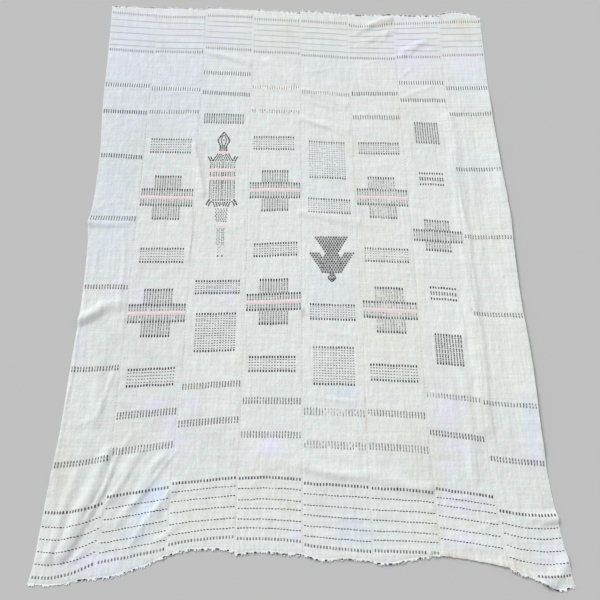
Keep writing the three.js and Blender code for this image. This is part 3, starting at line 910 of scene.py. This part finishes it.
def lizard_lines():
    """The lizard, seen from above with its head to the far end: a pointed head of nested
    lines, forelegs and hind legs that bend outwards, slanting strokes at shoulder and hip, a
    body of columns and a faint tail of broken columns."""
    half = [
        chain([0, 7, 13, 14.8, 14.2, 9.5, 7.2, 7.8, 9.6],
              [470, 459, 449, 444, 440, 430, 423, 417, 411], 4.8, 0),
        chain([0, 3.8, 6.8, 6.6, 3.6, 2.9, 4.2], [461.5, 455, 447, 442, 433, 425, 411], 3.1, 0),
        chain([13.6, 25.2, 31.8], [403.5, 380.5, 395.5], 3.8, 0),
        chain([30.8, 38.4], [380, 395], 4.4, 0),
        chain([8.2, 19.4], [403.2, 380.2], 3.1, 0),
        chain([3.8, 13.2], [402.6, 380.4], 3.0, 0),
        chain([0.6, 7.4], [399.6, 380.6], 2.8, 0),
        chain([0.5, 3.4], [388.8, 377.8], 2.6, 0.05),
        chain([29.8, 35.4, 38.4], [268.5, 260, 252], 4.8, 0),
        chain([24.6, 29.8, 32.4], [263.5, 257.3, 249], 4.4, 0),
        chain([21.6, 15.8], [262.5, 247], 4.0, 0),
        chain([14.8, 9.8], [262, 247.6], 3.6, 0),
        chain([9.0, 3.6], [261.5, 248.2], 3.4, 0),
        chain([4.0, 0.6], [261, 253], 3.0, 0.05),
    ]
    lines = [mirrored(part) for part in half]
    lines += [chain([0, 0], [447.5, 441], 4.4, 0), chain([0, 0], [431, 412], 2.4, 0.2)]
    columns = (-30.5, -20.8, -14.5, -8.3, -1.8, 2.2, 8.3, 14.5, 20.8, 30.5)
    bands = ((378, 368, 0.35), (368, 358.5, 0.06), (348.5, 334, 0.04), (324.5, 311, 0.06),
             (311, 297, 0.18), (297, 284, 0.28), (284, 270, 0.38))
    for top, bottom, wear in bands:
        for j, place in enumerate(columns):
            stagger = (j * 2.3) % 3.0
            low, pitch = bottom + 0.4 * stagger, 4.2 + 0.5 * stagger
            lines.append(stack((place,), top, low, pitch, 3.2, wear, 0.15))
        lines.append(stack((-25.6, 25.6), top, bottom, 5.0, 2.8, 0.6, 0.5))
    lines.append(stack(columns, 269.5, 264, 6, 4.0, 0))
    for j, top in enumerate(np.arange(243, 204, -4.9)):
        reach = 13.5 - 0.075 * (243 - top)
        places = np.linspace(-reach, reach, 5) + (1.2 if j % 2 else -0.6)
        lines.append(stack(places, top, top - 4.2, 6, 3.6, 0.26))
    for j, top in enumerate(np.arange(187, 144, -4.6)):
        places = (-8.6 + j % 2, -2.2 - j % 2, 3.4, 8.2 - j % 2)
        lines.append(stack(places, top, top - 3.8, 6, 3.8, 0.28 + 0.03 * j))
    for j, top in enumerate(np.arange(141, 118, -4.6)):
        lines.append(stack((-6 + 1.5 * (j % 2), 1 - j % 2), top, top - 3.0, 6, 3.2, 0.62))
    lines.append(stack((-5.4, 4.8), 115.5, 109.5, 6, 4.6, 0.1))
    return placed(lines, ((105, -192), (200, -194.4), (270, -195.4), (350, -197.3), (470, -198)))


def bird_lines():
    """The bird, spread and with its head to the near end: rows of bricks, every second row
    moved by half a brick. Its tail fan loses a brick a row, its body then gains one a row
    and its two wings slant in to meet it; a small pointed head of two bent lines."""
    half_pitch, step = 3.13, 5.37
    lines = []
    for row in range(18):
        reach = 12 - row if row < 9 else row - 4
        places = np.arange(-reach, reach + 1, 2)
        if row > 7:
            outer = 24 - row
            inner = 18 - row if row < 11 else 0
            wing = np.arange(-outer, outer + 1, 2)
            wing = wing[(abs(wing) >= inner) & (abs(wing) > reach)]
            places = np.concatenate([places[abs(places) <= outer], wing])
        y = 162.6 - row * step
        wide = np.where((abs(places) == 7) & (row > 12), 7.0, 4.7)
        xs = places * half_pitch * (1 + 0.0035 * np.maximum(abs(places) - 8, 0))
        one = np.ones(len(xs))
        lines.append(np.stack([xs, (y - 2.6) * one, xs, (y + 2.6) * one, wide, 0.1 * one], -1))
    half = [
        chain([0.5, 13, 24.5], [68.6, 68.8, 69.6], 2.6, 0.12),
        chain([3.2, 3.1, 8.6, 8.8, 4.4, 0.3], [69, 64.5, 57.5, 55.2, 50, 45], 4.0, 0.0),
        chain([4.6, 0.6], [57, 49.5], 3.2, 0.05),
        chain([4.4, 0.8], [63, 58], 3.2, 0.05),
    ]
    lines += [mirrored(part) for part in half] + [chain([0, 0], [68, 52], 3.2, 0.35)]
    return placed(lines, ((44, 75.6), (70, 75.6), (120, 76.5), (163, 75.7)))


def charted_dashes():
    """Every dark dash of the chart, strip by strip."""
    rows = {strip: [] for strip in range(1, 9)}
    for strip, some in border_rows():
        rows[strip] += some
    for strip, y, tall, wear in BARS:
        rows[strip] += bar_rows(strip, y, tall, None, wear)
    makers = ((block_rows, BLOCKS), (cross_rows, CROSSES), (square_rows, SQUARES),
              (triple_rows, TRIPLES))
    for maker, table in makers:
        for row in table:
            rows[row[0]] += maker(*row)
    rows[3].append(lizard_lines())
    rows[5].append(bird_lines())
    return {strip: np.concatenate(some) for strip, some in rows.items()}


def worn_dashes(dashes, rng):
    """The dashes that wear has left, and their colours: each is moved a little by hand,
    loses width as it wears, goes missing where it is worn through, and mixes towards the
    cotton's colour. Thin rows are worn in streaks as well."""
    x, y = dashes[:, 0], (dashes[:, 1] + dashes[:, 3]) / 2
    uneven = rng.normal(0, 1, len(x)) * (0.03 + 0.12 * dashes[:, 5])
    thin = dashes[:, 3] - dashes[:, 1] < 4.2
    streaks = 0.3 * thin * cloudy(x, 7 * y, 50, 63).clip(0, 1)
    wear = np.clip(dashes[:, 5] + worn(x, y) + streaks + uneven, 0, 1)
    kept = rng.uniform(0, 1, len(x)) > np.clip((wear - 0.6) * 0.8, 0, 0.7)
    dashes, wear = dashes[kept].copy(), wear[kept]
    dashes[:, [0, 2]] += rng.normal(0, 0.18, (len(dashes), 1))
    dashes[:, [1, 3]] += rng.normal(0, 0.18, (len(dashes), 1))
    dashes[:, 4] *= rng.normal(1, 0.07, len(dashes)) * (1 - 0.22 * wear)
    shade = rng.normal(1, 0.18, len(dashes)).clip(0.6, 1.6)[:, None]
    mix = (0.68 * wear * rng.normal(1, 0.2, len(dashes))).clip(0, 0.95)[:, None]
    ground = cotton_tint(dashes[:, 0], dashes[:, 1])
    return dashes[:, :5], np.array(yarn().dark) * shade * (1 - mix) + ground * mix


def raised_ground(dashes):
    """The warps that bulge between two neighbouring dashes of the far thick rows: a dash in the
    middle of each gap, a little narrower than the gap. inlay_piece gives them a painted highlight."""
    before, after = dashes[:-1], dashes[1:]
    step = after[:, 0] - before[:, 0]
    tall = before[:, 3] - before[:, 1]
    near_by = (step > 4) & (step < 8) & (abs(after[:, 1] - before[:, 1]) < 2)
    chosen = near_by & (tall > 6.2) & (before[:, 1] > 600)
    middle = (before[chosen, :5] + after[chosen, :5]) / 2
    middle[:, 4] = step[chosen] - middle[:, 4] - 0.4
    return middle


def inlay_piece(strip, dashes, material):
    """All dark dashes of one strip and the bulging ground between its far ones, whose colour is
    a painted highlight, lighter than the cotton, lying on that strip's upper face."""
    rng = np.random.default_rng(100 + strip)
    kept, colours = worn_dashes(dashes, rng)
    between = raised_ground(dashes)
    # Painted highlight: the bulging ground between the far dashes is the cotton's colour made
    # lighter.
    painted_highlight = (cotton_tint(between[:, 0], between[:, 1]) * 1.26).clip(0, 0.96)
    rise = np.repeat((mm(yarn().rise), 0.2), (len(kept), len(between)))[:, None]
    kept, colours = np.concatenate([kept, between]), np.concatenate([colours, painted_highlight])

    def on_strip(x, y):
        return top_height(strip, x, y)

    return dashes_piece(f"inlay_{strip}", kept, on_strip, colours, rise, material)


# Pink wefts: strip, y, height, first and last share across the strip, wear.
PINK_WEFTS = (
    (2, 274, 8.0, 0.02, 0.98, 0.05), (2, -33, 8.0, 0.02, 0.98, 0.05),
    (4, 296, 8.4, 0.02, 0.98, 0.15), (4, -5, 7.4, 0.02, 0.98, 0.1), (6, 274, 7.4, 0.02, 0.98, 0.15),
    (6, -26, 6.8, 0.02, 0.98, 0.15), (3, 406.6, 6.4, 0.404, 0.600, 0.0),
    (3, 353.2, 8.6, 0.254, 0.738, 0.1), (3, 329.2, 8.6, 0.250, 0.726, 0.05),
    (3, 193.9, 9.5, 0.425, 0.586, 0.55), (3, 105.6, 5.2, 0.470, 0.572, 0.35),
)


def pink_piece(strip, rows, material):
    """The pink wefts of one strip: each a low closed ribbon on a grid of nine by many points,
    rounded across its height by a half wave and ribbed where its threads lie side by side."""
    across = np.linspace(-1, 1, 9)
    points, faces, tints, start = [], [[], [], [], [], [], []], [], 0
    for _, y, tall, first, last, wear in rows:
        share = np.linspace(first, last, int((last - first) * 44) + 2)[:, None]
        middle = weft_y(strip, y, share)
        left, right = line_x(strip - 1, middle), line_x(strip, middle)
        uneven = 1 + 0.06 * cloudy(share * STRIP_WIDTH, 0 * share + y, 14, 31)
        py = middle + across * tall / 2 * uneven
        px = left + (right - left) * share + 0 * across
        lift = mm(yarn().rise) * (1.25 * np.cos(across * np.pi / 2) ** 0.5 - 0.35)
        lift = lift + 0.1 * np.cos(across * 4 * np.pi)
        top = top_height(strip, px, py)
        points += [to_frame(px, py, z).reshape(-1, 3) for z in (top + lift, top - 0.4)]
        for kind, some in zip(faces, sheet_faces(*px.shape)):
            kind.append(some[:, ::-1] + start)
        patches = np.clip(cloudy(px, py, 9, 32 + strip), 0, 1)
        mix = (0.75 * wear + 0.2 * patches).clip(0, 1)[..., None]
        tint = (np.array(yarn().pink) * (1 - mix) + cotton_tint(px, py) * mix).reshape(-1, 3)
        tints += [tint, tint]
        start += 2 * px.size
    faces = [np.concatenate(kind) for kind in faces]
    points, tints = np.concatenate(points), np.concatenate(tints)
    return new_piece(f"pink_{strip}", points, faces, tints, material)


def seam_piece(number, material):
    """Whip stitches down one seam: short slanting dashes that cross from strip to strip,
    with uneven spacing, and a few in older, browner thread."""
    rng = np.random.default_rng(200 + number)
    low = max(NEAR_ENDS[number - 1][-1], NEAR_ENDS[number][0]) + 4
    high = min(FAR_ENDS[number - 1][-1], FAR_ENDS[number][0]) - 4
    y = np.arange(low, high, mm(yarn().stitch_pitch))
    y = y + rng.normal(0, 0.6, len(y))
    x = line_x(number, y)
    reach, slant = rng.normal(2.3, 0.25, len(y)), rng.normal(1.6, 0.35, len(y))
    dashes = np.stack([x - reach, y - slant, x + reach, y + slant, np.full(len(y), 0.95)], -1)
    brown = (rng.uniform(0, 1, len(y)) < 0.06)[:, None]
    old = np.array(STAIN_AND_SHADE_COLOURS["rust"]) * 0.5 + np.array(yarn().thread) * 0.5
    colours = np.where(brown, old, np.array(yarn().thread) * rng.normal(1, 0.06, (len(y), 1)))

    def on_seam(px, py):
        return under_height(px, py) + mm(size().thickness) - 0.35

    return dashes_piece(f"seam_{number}", dashes, on_seam, colours, 0.5, material, THREAD)


FRAY_THREADS = 420
SHADOWED_THREAD = (0.17, 0.21, 0.32)


def fray_piece(strip, far, material):
    """Loose warp ends along a strip's raw end: thin slanting dashes, in the cotton's colour made
    lighter as painted light, that leave the cloth's edge in tufts, long where the clouds are high
    and longer at the far end. Blue-grey specks of shadowed thread and short dark marks lie over
    them along the edge.
    Beyond the edge all of them droop, by a tenth of the distance for the first 3 mm."""
    rng = np.random.default_rng(300 + 2 * strip + far)
    ends, sign = (FAR_ENDS, 1) if far else (NEAR_ENDS, -1)

    def edge(share):
        y = end_y(ends[strip - 1], share)
        left, right = line_x(strip - 1, y), line_x(strip, y)
        return left + (right - left) * share, y

    def along_edge(x, reach, out, width):
        """Dashes that follow the edge, reach long, at a distance of out beyond it."""
        x = np.stack([x - reach / 2, x + reach / 2])
        share = share_across(strip, x, float(ends[strip - 1][0])).clip(0, 1)
        y = end_y(ends[strip - 1], share) + out * sign
        return np.stack([x[0], y[0], x[1], y[1], width + 0 * x[0]], -1)

    x, y = edge(np.sort(rng.uniform(0.006, 0.994, FRAY_THREADS)))
    tuft = 1.3 + cloudy(x, y, 15, 400 + strip) + 0.7 * cloudy(x, y, 5, 410 + strip)
    out = 0.7 + rng.gamma(2.4, 0.45, len(x)) * tuft.clip(0.2, 3.0)
    lean = rng.normal(0, 1.2, len(x)) + 1.4 * cloudy(x, y, 22, 420 + strip)
    longer = 1.5 if far else 1.0
    tip = y + longer * out.clip(0.6, 5.5) * sign
    loose = [np.stack([x, y - 2.4 * sign, x + lean, tip, rng.uniform(1.0, 2.0, len(x))], -1)]
    # Painted light: the loose threads take the cotton's colour made about a quarter lighter.
    colours = [(cotton_tint(x, y) * rng.normal(1.24, 0.06, (len(x), 1))).clip(0, 0.95)]
    lift = [rng.uniform(0, 0.4, len(x))]
    count = 26 if far else 11
    x, _ = edge(rng.uniform(0.03, 0.97, count))
    reach = rng.uniform(2, 4 if far else 7, count)
    out = longer * rng.uniform(0.2 if far else 0.6, 2.4, count)
    loose.append(along_edge(x, reach, out, 1.4 * longer))
    colours.append(np.array(SHADOWED_THREAD) * rng.normal(1.0, 0.4, (count, 1)).clip(0.4, 2.2))
    lift.append(np.full(count, 0.5))
    for stub_strip, stub_x, width, at_far in STUBS:
        if stub_strip == strip and at_far == bool(far):
            out = longer * np.array([0.8, 2.0])
            loose.append(along_edge(np.full(2, stub_x), width, out, 1.5 * longer))
            colours.append(np.tile(np.array(yarn().dark) * (1.0, 1.1, 1.6), (2, 1)))
            lift.append(np.full(2, 0.65))
    lift = np.concatenate(lift)[:, None]

    def drooping(px, py):
        beyond = sign * (py - end_y(ends[strip - 1], share_across(strip, px, py).clip(0, 1)))
        return top_height(strip, px, py) - 0.1 * beyond.clip(0, 3) + lift

    name = f"fray_{'far' if far else 'near'}_{strip}"
    loose, colours = np.concatenate(loose), np.concatenate(colours)
    return dashes_piece(name, loose, drooping, colours, 0.14, material, THREAD, THREAD_SINK)


def add_node(tree, kind, **values):
    """A shader node with its settings and plain input values; a key that starts with
    in_ names an input by its place."""
    made = tree.nodes.new(kind)
    for key, value in values.items():
        if key.startswith("in_"):
            made.inputs[int(key[3:])].default_value = value
        else:
            setattr(made, key, value)
    return made


def maths(tree, operation, first, second=None):
    """A Math node on sockets or numbers, and its output."""
    made = add_node(tree, "ShaderNodeMath", operation=operation)
    for place, value in enumerate((first, second)):
        if isinstance(value, bpy.types.NodeSocket):
            tree.links.new(value, made.inputs[place])
        elif value is not None:
            made.inputs[place].default_value = value
    return made.outputs[0]


def new_group(name, inputs, outputs):
    """An empty node group with named sockets, its input node and its output node."""
    group = bpy.data.node_groups.new(name, "ShaderNodeTree")
    for label, kind in inputs:
        group.interface.new_socket(name=label, in_out="INPUT", socket_type=kind)
    for label, kind in outputs:
        group.interface.new_socket(name=label, in_out="OUTPUT", socket_type=kind)
    return group, group.nodes.new("NodeGroupInput"), group.nodes.new("NodeGroupOutput")


def weave_group():
    """Plain weave: warp and weft are ridges of a sine's size across each thread, and the one
    that lies on top changes from crossing to crossing as the product of two sines does. The
    threads wander with a noise. Shade adds noises drawn out along the warp, along the weft
    and not at all, as hand-spun yarn shows, and Crinkle is the rumple of a washed cloth."""
    group, given, put = new_group(
        "Plain weave", (("Vector", "NodeSocketVector"), ("Threads per metre", "NodeSocketFloat")),
        (("Height", "NodeSocketFloat"), ("Shade", "NodeSocketFloat"),
         ("Crinkle", "NodeSocketFloat")),
    )
    wander = add_node(group, "ShaderNodeTexNoise", in_2=55.0, in_3=2.0)
    group.links.new(given.outputs[0], wander.inputs[0])
    mixed = add_node(group, "ShaderNodeVectorMath", operation="MULTIPLY_ADD")
    group.links.new(wander.outputs[1], mixed.inputs[0])
    mixed.inputs[1].default_value = (0.0016, 0.0016, 0.0)
    group.links.new(given.outputs[0], mixed.inputs[2])
    parts = add_node(group, "ShaderNodeSeparateXYZ")
    group.links.new(mixed.outputs[0], parts.inputs[0])
    waves = []
    for place in (0, 1):
        turned = maths(group, "MULTIPLY", parts.outputs[place], given.outputs[1])
        waves.append(maths(group, "SINE", maths(group, "MULTIPLY", turned, math.pi)))
    warp, weft = (maths(group, "ABSOLUTE", wave) for wave in waves)
    over = maths(group, "MULTIPLY_ADD", maths(group, "MULTIPLY", waves[0], waves[1]), 0.5)
    over.node.inputs[2].default_value = 0.5
    blend = add_node(group, "ShaderNodeMix", data_type="FLOAT")
    group.links.new(over, blend.inputs[0])
    group.links.new(warp, blend.inputs[2])
    group.links.new(weft, blend.inputs[3])
    group.links.new(blend.outputs[0], put.inputs[0])
    streaks = []
    drawn_out = (((190.0, 9.0, 1.0), 0.9), ((9.0, 170.0, 1.0), 0.8), ((260.0, 230.0, 1.0), 0.8))
    for reach, amount in drawn_out:
        stretched = add_node(group, "ShaderNodeMapping", vector_type="POINT")
        stretched.inputs[3].default_value = reach
        group.links.new(given.outputs[0], stretched.inputs[0])
        noise = add_node(group, "ShaderNodeTexNoise", in_2=1.0, in_3=2.0)
        group.links.new(stretched.outputs[0], noise.inputs[0])
        centred = maths(group, "SUBTRACT", noise.outputs[0], 0.5)
        streaks.append(maths(group, "MULTIPLY", centred, amount))
    total = maths(group, "ADD", maths(group, "ADD", streaks[0], streaks[1]), streaks[2])
    group.links.new(total, put.inputs[1])
    drawn = add_node(group, "ShaderNodeMapping", vector_type="POINT")
    drawn.inputs[3].default_value = (120.0, 48.0, 1.0)
    group.links.new(given.outputs[0], drawn.inputs[0])
    crinkle = add_node(group, "ShaderNodeTexNoise", in_2=1.0, in_3=3.0)
    group.links.new(drawn.outputs[0], crinkle.inputs[0])
    group.links.new(maths(group, "SUBTRACT", crinkle.outputs[0], 0.5), put.inputs[2])
    return group


def twist_group():
    """Spun yarn: fine slanting ridges of a wave texture bent by noise, and a slow change of
    shade from fibre to fibre."""
    group, given, put = new_group(
        "Spun yarn", (("Vector", "NodeSocketVector"), ("Scale", "NodeSocketFloat")),
        (("Height", "NodeSocketFloat"), ("Shade", "NodeSocketFloat")),
    )
    ridges = add_node(group, "ShaderNodeTexWave", wave_type="BANDS",
                      bands_direction="DIAGONAL", in_2=4.0, in_3=2.0)
    fibres = add_node(group, "ShaderNodeTexNoise", in_3=3.0)
    for texture, place in ((ridges, 1), (fibres, 2)):
        group.links.new(given.outputs[0], texture.inputs[0])
        group.links.new(given.outputs[1], texture.inputs[place])
    group.links.new(ridges.outputs[1], put.inputs[0])
    group.links.new(maths(group, "SUBTRACT", fibres.outputs[0], 0.5), put.inputs[1])
    return group


def fibre_material(name, group, scale, shade, depth, roughness):
    """A matt fibre finish: the piece's own tint, lightened and darkened by the group's shade,
    with a bump from the group's height."""
    material = bpy.data.materials.new(name)
    material.use_nodes = True
    tree = material.node_tree
    tree.nodes.clear()
    out = tree.nodes.new("ShaderNodeOutputMaterial")
    surface = tree.nodes.new("ShaderNodeBsdfPrincipled")
    surface.inputs["Roughness"].default_value = roughness
    surface.inputs["Specular IOR Level"].default_value = 0.15
    surface.inputs["Sheen Weight"].default_value = 0.12
    surface.inputs["Sheen Roughness"].default_value = 0.6
    place = tree.nodes.new("ShaderNodeTexCoord")
    fibre = add_node(tree, "ShaderNodeGroup", node_tree=group)
    fibre.inputs[1].default_value = scale
    tree.links.new(place.outputs["Object"], fibre.inputs[0])
    tint = add_node(tree, "ShaderNodeAttribute", attribute_name="tint")
    factor = maths(tree, "MULTIPLY_ADD", fibre.outputs["Shade"], shade)
    factor.node.inputs[2].default_value = 1.0
    toned = add_node(tree, "ShaderNodeVectorMath", operation="SCALE")
    tree.links.new(tint.outputs["Color"], toned.inputs[0])
    tree.links.new(factor, toned.inputs["Scale"])
    tree.links.new(toned.outputs[0], surface.inputs["Base Color"])
    bump = tree.nodes.new("ShaderNodeBump")
    bump.inputs["Strength"].default_value = 0.6
    bump.inputs["Distance"].default_value = depth
    tree.links.new(fibre.outputs["Height"], bump.inputs["Height"])
    if "Crinkle" in fibre.outputs:
        crinkle = tree.nodes.new("ShaderNodeBump")
        crinkle.inputs["Distance"].default_value = 0.0017
        tree.links.new(fibre.outputs["Crinkle"], crinkle.inputs["Height"])
        tree.links.new(crinkle.outputs[0], bump.inputs["Normal"])
    tree.links.new(bump.outputs[0], surface.inputs["Normal"])
    tree.links.new(surface.outputs[0], out.inputs[0])
    return material


def cotton_material():
    """The woven cotton ground, made once and shared by the eight strips."""
    found = bpy.data.materials.get("woven_cotton")
    return found or fibre_material("woven_cotton", weave_group(), 900.0, 0.30, 0.00025, 0.92)


def yarn_material():
    """Loose and inlaid yarn, made once and shared by dashes, stitches and frayed ends."""
    found = bpy.data.materials.get("spun_yarn")
    return found or fibre_material("spun_yarn", twist_group(), 700.0, 0.5, 0.0002, 0.9)


def attach(piece, strip):
    """The piece rides on the part's one body; its strip is not used."""
    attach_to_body(piece, "root")
    return piece


class CLOTH_OT_weave_strips(Operator):
    """Weave the eight cotton strips in the place of their plain solids"""

    bl_idname = "cloth.weave_strips"
    bl_label = "Weave strips"

    def execute(self, context):
        for strip in range(1, 9):
            piece = attach(strip_sheet(strip, cotton_material()), strip)
            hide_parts(f"strip_{strip}")
        return {"FINISHED"}


class CLOTH_OT_lay_inlay(Operator):
    """Lay the dark inlaid dashes on every strip"""

    bl_idname = "cloth.lay_inlay"
    bl_label = "Lay dark inlay"

    def execute(self, context):
        for strip, dashes in charted_dashes().items():
            attach(inlay_piece(strip, dashes, yarn_material()), strip)
        return {"FINISHED"}


class CLOTH_OT_lay_pink(Operator):
    """Lay the pink wefts of the crosses and the lizard"""

    bl_idname = "cloth.lay_pink"
    bl_label = "Lay pink inlay"

    def execute(self, context):
        for strip in sorted({row[0] for row in PINK_WEFTS}):
            rows = [row for row in PINK_WEFTS if row[0] == strip]
            attach(pink_piece(strip, rows, yarn_material()), strip)
        return {"FINISHED"}


class CLOTH_OT_sew_seams(Operator):
    """Sew the seven seams with whip stitches"""

    bl_idname = "cloth.sew_seams"
    bl_label = "Sew seams"

    def execute(self, context):
        for number in range(1, 8):
            attach(seam_piece(number, yarn_material()), number)
        return {"FINISHED"}


class CLOTH_OT_fray_ends(Operator):
    """Fray the raw ends of the strips"""

    bl_idname = "cloth.fray_ends"
    bl_label = "Fray ends"

    def execute(self, context):
        for strip in range(1, 9):
            for far in (0, 1):
                if strip != 7 or far:
                    attach(fray_piece(strip, far, yarn_material()), strip)
        return {"FINISHED"}


class CLOTH_OT_declare_sheets(Operator):
    """A step that does nothing: no strip's flat size or pieces are recorded"""

    bl_idname = "cloth.declare_sheets"
    bl_label = "Declare sheets"

    def execute(self, context):
        return {"FINISHED"}


class CLOTH_OT_set_stage(Operator):
    """Set the floor, the soft light and the camera"""

    bl_idname = "cloth.set_stage"
    bl_label = "Set stage"

    def execute(self, context):
        look = context.scene.cloth_stage
        scene = context.scene
        floor_mesh = bpy.data.meshes.new("floor")
        reach, level = 6.0, -0.0004
        turns = ((-1, -1), (1, -1), (1, 1), (-1, 1))
        corners = [(reach * a, reach * b, level) for a, b in turns]
        floor_mesh.from_pydata(corners, [], [(0, 1, 2, 3)])
        paint = bpy.data.materials.new("floor_paint")
        paint.use_nodes = True
        shader = paint.node_tree.nodes["Principled BSDF"]
        shader.inputs["Base Color"].default_value = (*look.floor, 1.0)
        shader.inputs["Roughness"].default_value = 1.0
        shader.inputs["Specular IOR Level"].default_value = 0.0
        floor_mesh.materials.append(paint)
        floor = bpy.data.objects.new("floor", floor_mesh)
        scene.collection.objects.link(floor)

        world = bpy.data.worlds.new("studio")
        world.use_nodes = True
        world.node_tree.nodes["Background"].inputs[0].default_value = (1.0, 1.0, 1.0, 1.0)
        world.node_tree.nodes["Background"].inputs[1].default_value = look.fill
        scene.world = world
        light = bpy.data.lights.new("key", "SUN")
        light.energy = look.key
        light.angle = math.radians(25)
        key = bpy.data.objects.new("key", light)
        key.rotation_euler = (math.radians(-42), math.radians(-40), 0.0)
        scene.collection.objects.link(key)

        lens = bpy.data.cameras.new("camera")
        lens.sensor_width = 36.0
        lens.lens = look.lens
        camera = bpy.data.objects.new("camera", lens)
        aim_x, aim_y = -size().middle_x, -size().middle_y
        back = look.distance * math.cos(look.elevation)
        up = look.distance * math.sin(look.elevation)
        camera.location = (aim_x, aim_y - back, up)
        camera.rotation_euler = (math.pi / 2 - look.elevation, 0.0, 0.0)
        scene.collection.objects.link(camera)
        scene.camera = camera
        scene.view_settings.view_transform = "Standard"
        return {"FINISHED"}


OPERATORS = (
    CLOTH_OT_weave_strips, CLOTH_OT_lay_inlay, CLOTH_OT_lay_pink, CLOTH_OT_sew_seams,
    CLOTH_OT_fray_ends, CLOTH_OT_declare_sheets, CLOTH_OT_set_stage,
)


class CLOTH_PT_panel(Panel):
    """Lists the cloth's making steps in the sidebar"""

    bl_idname = "CLOTH_PT_panel"
    bl_label = "Cloth"
    bl_space_type = "VIEW_3D"
    bl_region_type = "UI"
    bl_category = "Cloth"

    def draw(self, context):
        for operator in OPERATORS:
            self.layout.operator(operator.bl_idname)


CLASSES = (ClothSize, YarnLook, StageLook, *OPERATORS, CLOTH_PT_panel)


def register():
    for item in CLASSES:
        bpy.utils.register_class(item)
    bpy.types.Scene.cloth_size = PointerProperty(type=ClothSize)
    bpy.types.Scene.cloth_yarn = PointerProperty(type=YarnLook)
    bpy.types.Scene.cloth_stage = PointerProperty(type=StageLook)


def unregister():
    del bpy.types.Scene.cloth_stage
    del bpy.types.Scene.cloth_yarn
    del bpy.types.Scene.cloth_size
    for item in reversed(CLASSES):
        bpy.utils.unregister_class(item)


def main():
    register()
    bpy.ops.cloth.weave_strips()
    bpy.ops.cloth.lay_inlay()
    bpy.ops.cloth.lay_pink()
    bpy.ops.cloth.sew_seams()
    bpy.ops.cloth.fray_ends()
    bpy.ops.cloth.declare_sheets()
    bpy.ops.cloth.set_stage()


if __name__ == "__main__":
    main()
